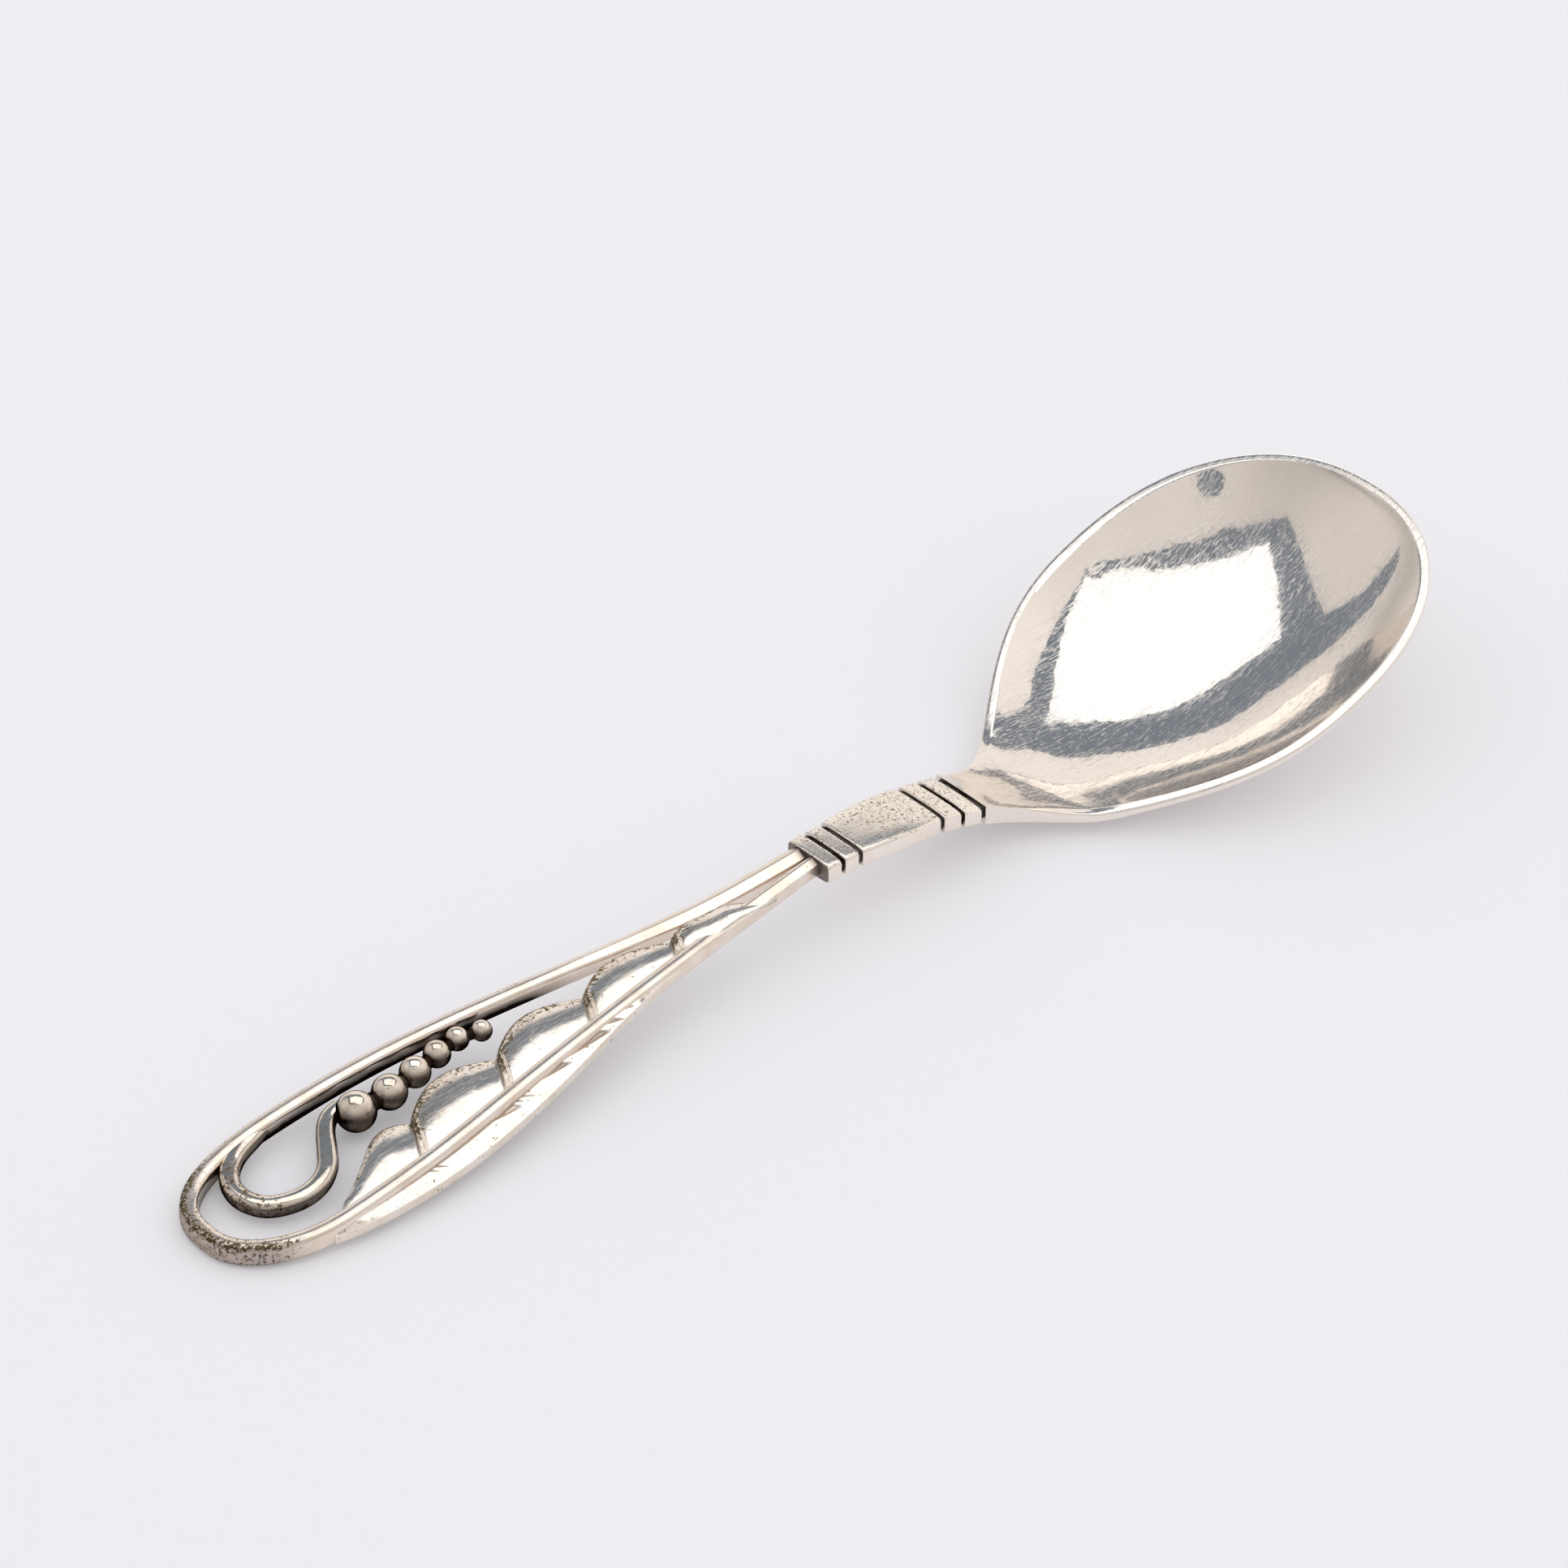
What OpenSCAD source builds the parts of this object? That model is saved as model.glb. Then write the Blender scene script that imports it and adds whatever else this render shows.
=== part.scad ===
// Silver serving spoon with an openwork handle.
// X runs from the handle's end to the bowl's tip, Y across, Z up from the table.

/* [Handle] */
// Length of the handle from its round end to the collar
handle_l = 99; // [85:0.5:115]
// Greatest width across the handle
handle_w = 24.6; // [22:0.1:28]
// Distance from the round end to the widest place
handle_end_l = 24.6; // [20:0.5:30]
// Height gained by the wire from the round end to the collar
handle_rise = 8.3; // [6.5:0.1:10]
// Depth of the handle's S-bend, seen from the side
handle_ogee = 0.35; // [0:0.05:0.8]
// Distance from the round end to the start of the straight midrib
rib_x = 14; // [12:0.5:16]
// Offset of the midrib to the near side at its start
rib_y = 10.1; // [9.6:0.1:10.6]

/* [Rail wire] */
// Width of the wire at the round end
rail_w = 2.4; // [2.1:0.05:2.8]
// Height of the wire at the round end
rail_h = 3.1; // [2.8:0.05:3.6]
// Width of the wire at the collar
rail_neck_w = 2.05; // [1.8:0.05:2.2]
// Height of the wire at the collar
rail_neck_h = 2.45; // [2.1:0.05:2.7]
// Gap between the two arms of the wire at the collar
rail_gap = 0.12; // [0.08:0.02:0.3]
// Length of the wire ends inside the collar
rail_tenon_l = 1.8; // [1.2:0.1:2.1]

/* [Tendril] */
// Distance from the round end to the middle of the curl
curl_x = 14.9; // [14:0.1:16]
// Offset of the middle of the curl to the far side
curl_y = 3.6; // [3:0.1:4.5]
// Reach of the curl from its middle towards the round end
curl_back = 6.8; // [5.5:0.1:7.4]
// Reach of the curl from its middle towards the near side
curl_down = 6.3; // [5.5:0.1:6.8]
// Thickness of the wire round the curl
tendril_d = 2.3; // [1.8:0.05:2.6]
// Thickness of the wire where it leaves the rail
tendril_root_d = 1.1; // [0.8:0.05:1.4]
// Thickness of the wire at the first bead
tendril_end_d = 1.7; // [1.4:0.05:2]
// Length along which the tendril lies against the rail
tendril_lap = 9; // [7:0.5:11]

/* [Beads] */
// Diameter of the first bead
bead_d = 4.66; // [4:0.02:5]
// Size of each bead against the one before it
bead_ratio = 0.88; // [0.84:0.01:0.92]
// Space between one bead and the next
bead_gap = 0.75; // [0.4:0.05:0.9]
// Thickness of the neck between two beads
bead_neck_d = 1.5; // [1:0.05:1.7]
// Distance from the round end to the middle of the first bead
bead_x = 27.8; // [27.2:0.1:28.6]
// Space between the rail and the first bead
bead_hang = 2.9; // [2.4:0.1:3.3]

/* [Leaf] */
// Distance from the round end to the start of the leaf
leaf_x = 16.2; // [15:0.1:18]
// Length of one lobe
lobe_l = 14.75; // [13:0.05:15.2]
// Number of lobes
lobe_count = 5; // [4:1:5]
// Width of the leaf at the first notch between two lobes
leaf_w = 4.4; // [3.8:0.1:5]
// Height of each lobe's arch over its notches
lobe_arch = 3.5; // [2.8:0.1:4.2]
// Height of the pillow raised in each lobe
lobe_dome = 0.6; // [0.3:0.05:0.9]
// Width of the leaf at its start
leaf_start_w = 0.4; // [0.3:0.1:0.8]
// Height of the leaf's foot over the wire's middle
leaf_seat = 0.4; // [0.1:0.05:0.6]
// Height of the leaf's edge over its foot
leaf_lift = 0.8; // [0.5:0.05:1.2]
// Thickness of the leaf
leaf_t = 0.8; // [0.6:0.05:1.1]
// Distance from the round end to the start of the blade
blade_x = 12; // [11:0.5:14]
// Length of the blade
blade_l = 57; // [50:0.5:62]
// Height of the blade's inner edge over the wire's middle
blade_seat = 0.7; // [0.4:0.05:0.9]
// Fall of the blade's face for each mm outwards
blade_fall = 0.45; // [0.3:0.05:0.6]
// Thickness of the blade
blade_t = 1.2; // [0.9:0.05:1.5]

/* [Collar] */
// Width of the collar at the handle
collar_w = 7.4; // [6.6:0.1:8]
// Height of the collar
collar_h = 3.1; // [2.9:0.05:3.6]
// Distance that the collar bends down over its length
collar_drop = 3; // [2:0.1:3.6]
// Length of each thin band at the handle
thin_band_l = 2.3; // [2:0.05:2.8]
// Length of the long block
block_l = 13.5; // [11:0.25:16]
// Swell of the long block on each side
block_swell = 0.35; // [0:0.05:0.6]
// Length of each band at the bowl
wide_band_l = 2.95; // [2.5:0.05:3.4]
// Width of each groove
groove_w = 0.65; // [0.4:0.05:0.9]
// Depth of each groove
groove_d = 0.45; // [0.3:0.05:0.6]

/* [Bowl] */
// Greatest width of the bowl
bowl_w = 54.1; // [48:0.5:60]
// Length from the collar to the bowl's widest place
heel_l = 47.2; // [42:0.2:54]
// Length from the widest place to the tip
tip_l = 29.6; // [26:0.2:34]
// Depth of the bowl's hollow
bowl_depth = 10.3; // [8.5:0.1:12]
// Length from the collar to the lowest place of the rim
dip_l = 14.4; // [12:0.1:17]
// Height of the tip over the lowest place of the rim
tip_rise = 21.4; // [17:0.2:25]
// Bow of the rim between its lowest place and the tip
rim_bow = 0.6; // [0:0.1:1.2]
// Width of the rim's flat top
rim_flat = 0.95; // [0.7:0.05:1.2]
// Height of the rim's outer edge
rim_edge = 0.85; // [0.6:0.05:1.1]
// Thickness of the bowl's bottom
bowl_wall = 1.25; // [1:0.05:1.6]
// Width of the heel at the collar
neck_w = 9.8; // [9:0.1:11]
// Thickness of the heel at the collar
neck_h = 2.9; // [2.5:0.05:3.2]
// Length over which the heel thins to the bowl's wall
heel_fade_l = 22; // [17:0.5:27]
// Depth worn off the lowest spot of the bowl
rest_cut = 0.12; // [0.08:0.01:0.2]
// Length of the tang inside the collar
tang_l = 4.2; // [3:0.1:5]
// Width of the tang
tang_w = 6.2; // [5:0.1:7]
// Thickness of the tang
tang_h = 1.5; // [1.1:0.05:1.7]

/* [Joints] */
// Film of solder between joined pieces
solder = 0.05; // [0.03:0.01:0.08]

/* [Hidden] */
$fn = 48;
silver = "#cfccc4";
dark_silver = "#a8a297";
pale_silver = "#dedbd2";

// Steepness of the bowl's outline: the heel's flare, its fillet and the round tip
heel_flare = 2.5;
heel_fillet = 2.4;
tip_round = 2.2;
// Steepness of the bowl's cross-section, of its depth towards the ends and of the heel's slope
bowl_round = 2.1;
depth_fall = 1.6;
heel_slope = 1.6;
heel_thinning = 1.5;
// Steepness of the handle's round end, of its taper and of the wire's thinning
end_round = 2.4;
taper_ease = 1.08;
wire_thinning = 1.5;
// Sharpness of the bend where the round end turns into the midrib
rib_bend = 14;
// Steepness of the collar's bend
collar_bend = 2.9;
// Steepness of the leaf's widening, its narrowing and its arches, and the first lobe's lean
leaf_widening = 0.9;
leaf_narrowing = 2.2;
arch_round = 0.9;
first_lean = 1.6;

// Half the step over which a slope is measured, and the run of a cut past a face
slope_step = 0.2;
cut_past = 1;

// Places along the spoon, from the handle's end
collar_x = handle_l;
collar_l = 2*thin_band_l + block_l + 2*wide_band_l + 4*groove_w;
heel_x = collar_x + collar_l + groove_w;
wide_x = heel_x + heel_l;
tip_x = wide_x + tip_l;
dip_x = heel_x + dip_l;
spoon_l = tip_x;

// General helpers
function mix(a, b, t) = a + (b - a)*t;
function limit(t) = min(1, max(0, t));
function steps(a, b, n) = [for (i = [0:n]) mix(a, b, i/n)];

// One smooth piece of a curve through b and c
function spline_at(a, b, c, d, t) =
    b + 0.5*t*(c - a + t*(2*a - 5*b + 4*c - d + t*(3*(b - c) + d - a)));
function spline(p, n) = [
    for (i = [0:len(p) - 2], k = [0:n - 1])
        spline_at(p[max(i - 1, 0)], p[i], p[i + 1], p[min(i + 2, len(p) - 1)], k/n),
    p[len(p) - 1]
];

// Solid through closed rings of equal count, in order
module skin(rings) {
    n = len(rings[0]);
    last = len(rings) - 1;
    points = [for (ring = rings, p = ring) p];
    sides = [
        for (i = [0:last - 1], j = [0:n - 1])
            let (a = i*n + j, b = i*n + (j + 1) % n)
                each [[a, b, b + n], [a, b + n, a + n]]
    ];
    caps = [for (j = [1:n - 2]) each [[0, j + 1, j], [last*n, last*n + j, last*n + j + 1]]];
    polyhedron(points, concat(sides, caps), convexity = 6);
}

// Solid between upper rows and lower rows of equal count
module plate(upper, lower) {
    n = len(upper[0]);
    last = len(upper) - 1;
    half = n*len(upper);
    points = [for (row = concat(upper, lower), p = row) p];
    tops = [
        for (i = [0:last - 1], j = [0:n - 2])
            let (a = i*n + j)
                each [[a, a + n, a + n + 1], [a, a + n + 1, a + 1]]
    ];
    under = [for (f = tops) [f[2] + half, f[1] + half, f[0] + half]];
    sides = [
        for (i = [0:last - 1])
            let (a = i*n, b = i*n + n - 1)
                each [
                    [a, a + half, a + half + n], [a, a + half + n, a + n],
                    [b, b + half + n, b + half], [b, b + n, b + half + n]
                ]
    ];
    ends = [
        for (j = [0:n - 2])
            let (a = j, b = last*n + j)
                each [
                    [a, a + 1, a + half + 1], [a, a + half + 1, a + half],
                    [b, b + half + 1, b + 1], [b, b + half, b + half + 1]
                ]
    ];
    polyhedron(points, concat(tops, under, sides, ends), convexity = 8);
}

module from_middle() translate([-spoon_l/2, 0, 0]) children();

// Rail wire: height, width and the middle line of its two arms
function rail_share(x) = (x - rail_w/2)/(handle_l - rail_w/2);
function rail_z(x) = rail_h/2 + handle_rise*rail_share(x) - handle_ogee*sin(360*rail_share(x));
function rail_half_w(x) = mix(rail_w, rail_neck_w, limit(x/handle_l))/2;
function rail_half_h(x) = mix(rail_h, rail_neck_h, pow(limit(x/handle_l), wire_thinning))/2;
wide_half = (handle_w - rail_w)/2;
neck_half = (rail_neck_w + rail_gap)/2;
function taper(x) = pow(
    (1 + cos(180*limit((x - handle_end_l)/(handle_l - handle_end_l))))/2, taper_ease
);
function end_share(x) = abs(1 - (x - rail_w/2)/(handle_end_l - rail_w/2));
function end_reach(x) = x < handle_end_l
    ? wide_half*pow(max(0, 1 - pow(end_share(x), end_round)), 1/end_round)
    : wide_half;
function arm_y(x) = x < handle_end_l
    ? end_reach(x)
    : mix(neck_half, wide_half, taper(x));
// The near arm is the leaf's straight midrib
function rib_line(x) = mix(neck_half, rib_y, max(0, (handle_l - x)/(handle_l - rib_x)));
function soft_least(a, b) = a*b/pow(pow(a, rib_bend) + pow(b, rib_bend), 1/rib_bend);
function near_y(x) = -soft_least(end_reach(x), rib_line(x));

// Half width of an arm measured straight across the spoon
function slope(after, before) = (after - before)/(2*slope_step);
function across(x, m) = rail_half_w(x)*sqrt(1 + m*m);
function arm_slope(x) = slope(arm_y(x + slope_step), arm_y(x - slope_step));
function far_flank(x) = arm_y(x) - across(x, arm_slope(x));
function near_slope(x) = slope(near_y(x + slope_step), near_y(x - slope_step));
function near_flank(x) = near_y(x) + across(x, near_slope(x));
function near_outer(x) = near_y(x) - across(x, near_slope(x));

// Middle line of the hairpin: far arm, round end, near arm
arm_steps = 24;
end_steps = 22;
end_turn = 86;
arm_xs = steps(handle_l, handle_end_l, arm_steps);
function end_x(a) = rail_w/2 + (handle_end_l - rail_w/2)*(1 - pow(cos(a), 2/end_round));
function end_y(a) = wide_half*pow(sin(a), 2/end_round);
function turn_y(a) = a < 0 ? near_y(end_x(a)) : end_y(a);
rail_path = concat(
    [[handle_l + rail_tenon_l, neck_half]],
    [for (x = arm_xs) [x, arm_y(x)]],
    [for (a = steps(end_turn, -end_turn, end_steps)) [end_x(a), turn_y(a)]],
    [for (i = [arm_steps:-1:0]) [arm_xs[i], near_y(arm_xs[i])]],
    [[handle_l + rail_tenon_l, -neck_half]]
);

// Oval of the wire: half rounds above and below two flat flanks
oval_steps = 5;
function oval(half_w, half_h) = concat(
    [for (a = steps(0, 180, oval_steps)) half_w*[cos(a), sin(a)] + [0, half_h - half_w]],
    [for (a = steps(180, 360, oval_steps)) half_w*[cos(a), sin(a)] - [0, half_h - half_w]]
);
function unit(v) = v/norm(v);
function path_way(p, i) = unit(p[min(i + 1, len(p) - 1)] - p[max(i - 1, 0)]);
function rail_ring(i) =
    let (
        p = rail_path[i],
        way = i == 0 ? [-1, 0] : i == len(rail_path) - 1 ? [1, 0] : path_way(rail_path, i),
        x = min(p[0], handle_l)
    )
    [for (s = oval(rail_half_w(x), rail_half_h(x)))
        [p[0] + way[1]*s[0], p[1] - way[0]*s[0], rail_z(x) + s[1]]];

module handle_rail() {
    color(silver)
        from_middle()
            skin([for (i = [0:len(rail_path) - 1]) rail_ring(i)]);
}

// Tendril: it lies against the far arm, rounds the curl and ends at the first bead
function far_slope(x) = slope(far_flank(x + slope_step), far_flank(x - slope_step));
function below_rail(x, r) = far_flank(x) - solder - r*sqrt(1 + pow(far_slope(x), 2));
function bead_r(i) = bead_d/2*pow(bead_ratio, i);
function bead_at_x(i) = i == 0 ? bead_x : bead_at_x(i - 1) + bead_r(i - 1) + bead_r(i) + bead_gap;
// The row swings up to the rail and touches it near the fifth bead, counted from 0
touch_bead = 4.2;
swing_ease = 1.5;
function bead_drop(i) = bead_hang*pow(abs(cos(90*i/touch_bead)), swing_ease);
function bead_at(i) =
    let (x = bead_at_x(i))
    [x, below_rail(x, bead_r(i)) - bead_drop(i), rail_z(x)];
first_bead = bead_at(0);
// The tendril's end points straight at the first bead, a little downwards
bead_aim = 6;
aim = [cos(bead_aim), -sin(bead_aim)];
tendril_end = [first_bead[0], first_bead[1]] - (bead_r(0) + bead_gap)*aim;
curl_front = mix(curl_x, tendril_end[0], 0.62);
lap_x = curl_x - curl_back/2;
function lap_r(k) = mix(tendril_root_d, tendril_d, k*k)/2;
lap_shares = [0, 0.4, 0.8];
back_turns = [172, 205, 235, 265];
front_turns = [295, 330];
tendril_path = spline(concat(
    [for (k = lap_shares)
        let (x = lap_x + (1 - k)*tendril_lap)
            [x, below_rail(x, lap_r(k))]],
    [for (a = back_turns) [curl_x + curl_back*cos(a), curl_y + curl_down*sin(a)]],
    [for (a = front_turns) [mix(curl_x, curl_front, cos(a)), curl_y + curl_down*sin(a)]],
    [[mix(curl_front, tendril_end[0], 0.42), mix(curl_y, tendril_end[1], 0.3)]],
    [tendril_end - tendril_end_d/2*aim, tendril_end]
), 4);
lap_end = 0.3;
thin_start = 0.8;
function tendril_r(s) = s < lap_end
    ? lap_r(s/lap_end)
    : mix(tendril_d, tendril_end_d, limit((s - thin_start)/(1 - thin_start)))/2;
tendril_sides = 10;
function tendril_ring(i) =
    let (
        n = len(tendril_path) - 1,
        p = tendril_path[i],
        way = i == n ? aim : path_way(tendril_path, i),
        r = tendril_r(i/n)
    )
    [for (k = [0:tendril_sides - 1])
        let (a = 360*k/tendril_sides)
        [p[0] + way[1]*r*cos(a), p[1] - way[0]*r*cos(a), rail_z(p[0]) + r*sin(a)]];

module tendril() {
    color(dark_silver)
        from_middle()
            skin([for (i = [0:len(tendril_path) - 1]) tendril_ring(i)]);
}

// Short round bar between two points
module bar(from, to, d) {
    way = to - from;
    translate(from)
        rotate([0, acos(way[2]/norm(way)), atan2(way[1], way[0])])
            cylinder(h = norm(way), d = d);
}

// One bead with the neck that reaches back to the piece before it
neck_most = 1.4;
module bead(i) {
    middle = bead_at(i);
    color(dark_silver)
        from_middle() {
            translate(middle)
                sphere(bead_r(i));
            if (i == 0) {
                reach = bead_r(0) + bead_gap - solder;
                bar(middle, middle - reach*[aim[0], aim[1], 0], bead_neck_d);
            } else {
                before = bead_at(i - 1);
                difference() {
                    bar(middle, before, min(bead_neck_d, neck_most*bead_r(i)));
                    translate(before)
                        sphere(bead_r(i - 1) + solder);
                }
            }
        }
}
module bead_1() bead(0);
module bead_2() bead(1);
module bead_3() bead(2);
module bead_4() bead(3);
module bead_5() bead(4);
module bead_6() bead(5);

// Lobed leaf: plate between the near arm and a scalloped edge, stopped by the far arm
leaf_end_x = leaf_x + lobe_count*lobe_l;
function lobe_place(x) = (x - leaf_x)/lobe_l;
function lobe_share(x) = lobe_place(x) - floor(lobe_place(x));
function notch_w(x) = lobe_place(x) < 1
    ? mix(leaf_start_w, leaf_w, pow(lobe_place(x), leaf_widening))
    : leaf_w*(1 - pow((lobe_place(x) - 1)/(lobe_count - 1), leaf_narrowing));
function lobe_lean(x) = lobe_place(x) < 1 ? pow(lobe_share(x), first_lean) : lobe_share(x);
function arch(x) = pow(sin(180*lobe_lean(x)), arch_round);
function arch_w(x) = lobe_arch*arch(x)*sqrt(notch_w(x)/leaf_w);
function leaf_foot(x) = near_flank(x) + solder;
leaf_least_w = 0.12;
function leaf_edge(x) = max(
    leaf_foot(x) + leaf_least_w,
    min(leaf_foot(x) + notch_w(x) + arch_w(x), far_flank(x) - solder)
);
leaf_rows = 7;
leaf_steps = 10;
// The leaf stops short of the collar
leaf_clear = 2;
leaf_stop_x = min(leaf_end_x, handle_l - leaf_clear);
leaf_xs = [
    for (n = [0:lobe_count - 1], k = [0:leaf_steps - 1])
        let (x = leaf_x + lobe_l*(n + (1 - cos(180*k/leaf_steps))/2))
            if (x < leaf_stop_x - slope_step) x,
    leaf_stop_x
];
function leaf_size(x) = limit((leaf_edge(x) - leaf_foot(x))/(leaf_w + lobe_arch));
// Share of the pillow's height that is left at a notch
least_dome = 0.55;
function pillow(x, v) = lobe_dome*4*v*(1 - v)*mix(least_dome, 1, arch(x));
function leaf_z(x, v) = rail_z(x) + leaf_seat + leaf_size(x)*(leaf_lift*v + pillow(x, v));
function leaf_row(x, drop) = [
    for (v = steps(0, 1, leaf_rows))
        [x, mix(leaf_foot(x), leaf_edge(x), v), leaf_z(x, v) - drop]
];

module lobed_leaf() {
    color(pale_silver)
        from_middle()
            plate(
                [for (x = leaf_xs) leaf_row(x, 0)],
                [for (x = leaf_xs) leaf_row(x, leaf_t)]
            );
}

// Veined blade: crescent that slopes out and down from the midrib to the handle's outline
blade_steps = 38;
blade_rows = 3;
blade_least_w = 0.12;
blade_xs = steps(blade_x, blade_x + blade_l, blade_steps);
function blade_inner(x) = near_outer(x) - solder;
function blade_outer(x) = min(
    -arm_y(x) - across(x, arm_slope(x)),
    blade_inner(x) - blade_least_w
);
function blade_z(x, y) = rail_z(x) + blade_seat - blade_fall*(blade_inner(x) - y);
function blade_row(x, drop) = [
    for (v = steps(0, 1, blade_rows))
        let (y = mix(blade_outer(x), blade_inner(x), v))
            [x, y, blade_z(x, y) - drop]
];

module veined_blade() {
    color(pale_silver)
        from_middle()
            plate(
                [for (x = blade_xs) blade_row(x, 0)],
                [for (x = blade_xs) blade_row(x, blade_t)]
            );
}

// Collar: a bent bar of rounded section with grooves cut round it
collar_round = 0.45;
function collar_share(x) = limit((x - collar_x)/collar_l);
function collar_z(x) = rail_z(handle_l) - collar_drop*pow(collar_share(x), collar_bend);
block_x = collar_x + 2*thin_band_l + 2*groove_w;
function swell(x) = block_swell*sin(180*limit((x - block_x)/block_l));
function collar_half_w(x) = mix(collar_w, neck_w, collar_share(x))/2 + swell(x);
band_ls = [thin_band_l, thin_band_l, block_l, wide_band_l, wide_band_l];
function band_start(i) = i == 0 ? collar_x : band_start(i - 1) + band_ls[i - 1] + groove_w;

// Rounded rectangle across the spoon at place x
function round_box(x, half_w, half_h, z, r) = [
    for (q = [0:3], a = [0, 45, 90])
        [
            x,
            (q == 0 || q == 3 ? 1 : -1)*(half_w - r) + r*cos(90*q + a),
            z + (q < 2 ? 1 : -1)*(half_h - r) + r*sin(90*q + a)
        ]
];
function collar_ring(x, inset) = round_box(
    x, collar_half_w(x) - inset, collar_h/2 - inset, collar_z(x), collar_round
);
edge_round = 0.2;
collar_rings = [
    for (i = [0:4])
        let (a = band_start(i), b = a + band_ls[i], n = i == 2 ? 12 : 2)
            each concat(
                i == 0 ? [] : [collar_ring(a, groove_d)],
                [collar_ring(a, edge_round)],
                [for (x = steps(a + edge_round, b - edge_round, n)) collar_ring(x, 0)],
                [collar_ring(b, edge_round)],
                i == 4 ? [] : [collar_ring(b, groove_d)]
            )
];

// Tang of the bowl, and its socket when grown by the solder film
tang_x = heel_x - groove_w - tang_l;
function tang_row(x, up) = [
    for (y = steps(-1, 1, bowl_rows + 2)) [x, y*tang_w/2, collar_z(x) + up*tang_h/2]
];
module tang_socket() {
    ends = [tang_x - solder, heel_x];
    half_h = tang_h/2 + solder;
    corners = [
        for (x = ends) [x, collar_z(x) - half_h],
        for (i = [1, 0]) [ends[i], collar_z(ends[i]) + half_h]
    ];
    translate([0, tang_w/2 + solder, 0])
        rotate([90, 0, 0])
            linear_extrude(tang_w + 2*solder)
                polygon(corners);
}

// Socket of one wire end: the wire's oval grown by the solder film
module rail_socket() {
    r = rail_neck_w/2 + solder;
    lift = rail_neck_h/2 - rail_neck_w/2;
    socket_l = cut_past + rail_tenon_l + solder;
    translate([handle_l - cut_past, 0, rail_z(handle_l)])
        rotate([0, 90, 0]) {
            for (s = [-1, 1])
                translate([s*lift, 0, 0])
                    cylinder(h = socket_l, r = r);
            translate([-lift, -r, 0])
                cube([2*lift, 2*r, socket_l]);
        }
}

module neck_collar() {
    color(silver)
        from_middle()
            difference() {
                skin(collar_rings);
                for (s = [-1, 1])
                    translate([0, s*neck_half, 0])
                        rail_socket();
                tang_socket();
            }
}

// Bowl: outline, rim height and depth at place x
bowl_rows = 20;
heel_steps = 30;
tip_steps = 18;
tip_last = 86.5;
least_inner = 0.45;
function heel_share(x) = limit((x - heel_x)/heel_l);
function fullness(x) = pow(1 - pow(1 - heel_share(x), heel_flare), heel_fillet);
function tip_share(x) = limit((x - wide_x)/tip_l);
function tip_width(x) = pow(max(0, 1 - pow(tip_share(x), tip_round)), 1/tip_round);
function bowl_half(x) = x < wide_x
    ? mix(neck_w, bowl_w, fullness(x))/2
    : bowl_w/2*tip_width(x);
function depth(x) = bowl_depth*pow(x < wide_x ? fullness(x) : tip_width(x), depth_fall);
function fade(x) = pow(1 - limit((x - heel_x)/heel_fade_l), heel_thinning);
function wall(x) = mix(bowl_wall, neck_h, fade(x));
function edge_h(x) = mix(rim_edge, neck_h, fade(x));

// The rim falls from the collar to its lowest place and then climbs to the tip
dip_round = 0.05;
function climb(x) =
    let (t = (x - dip_x)/(tip_x - dip_x))
    tip_rise*(sqrt(t*t + dip_round*dip_round) - dip_round)/(sqrt(1 + dip_round*dip_round) - dip_round)
        + 4*rim_bow*t*(1 - t);
rim_low = -rest_cut - min([for (x = steps(dip_x, wide_x, 60)) climb(x) - depth(x) - wall(x)]);
neck_top = collar_z(heel_x) + neck_h/2;
function rim_z(x) = x < dip_x
    ? mix(rim_low, neck_top, pow((dip_x - x)/dip_l, heel_slope))
    : rim_low + climb(x);

bowl_xs = concat(
    [for (s = steps(0, 1, heel_steps)) heel_x + heel_l*s],
    [for (a = steps(tip_last/tip_steps, tip_last, tip_steps - 1)) wide_x + tip_l*sin(a)]
);
function inner_half(x) = bowl_half(x)*max(least_inner, 1 - rim_flat/bowl_half(x));
function bowl_top(x) = concat(
    [[x, -bowl_half(x), rim_z(x)]],
    [for (v = steps(-1, 1, bowl_rows))
        [x, v*inner_half(x), rim_z(x) - depth(x)*(1 - pow(abs(v), bowl_round))]],
    [[x, bowl_half(x), rim_z(x)]]
);
function under_z(x, v) =
    rim_z(x) - edge_h(x) - (depth(x) + wall(x) - edge_h(x))*(1 - pow(abs(v), bowl_round));
function bowl_under(x) = [
    for (v = steps(-1, 1, bowl_rows + 2)) [x, v*bowl_half(x), under_z(x, v)]
];

module bowl() {
    tang_xs = [tang_x, heel_x];
    color(pale_silver)
        from_middle()
            difference() {
                plate(
                    concat([for (x = tang_xs) tang_row(x, 1)], [for (x = bowl_xs) bowl_top(x)]),
                    concat([for (x = tang_xs) tang_row(x, -1)], [for (x = bowl_xs) bowl_under(x)])
                );
                translate([heel_x, -bowl_w/2, -bowl_wall])
                    cube([heel_l, bowl_w, bowl_wall]);
            }
}

bowl();
neck_collar();
handle_rail();
tendril();
bead_1();
bead_2();
bead_3();
bead_4();
bead_5();
bead_6();
lobed_leaf();
veined_blade();
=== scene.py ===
import math
from functools import partial

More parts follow.
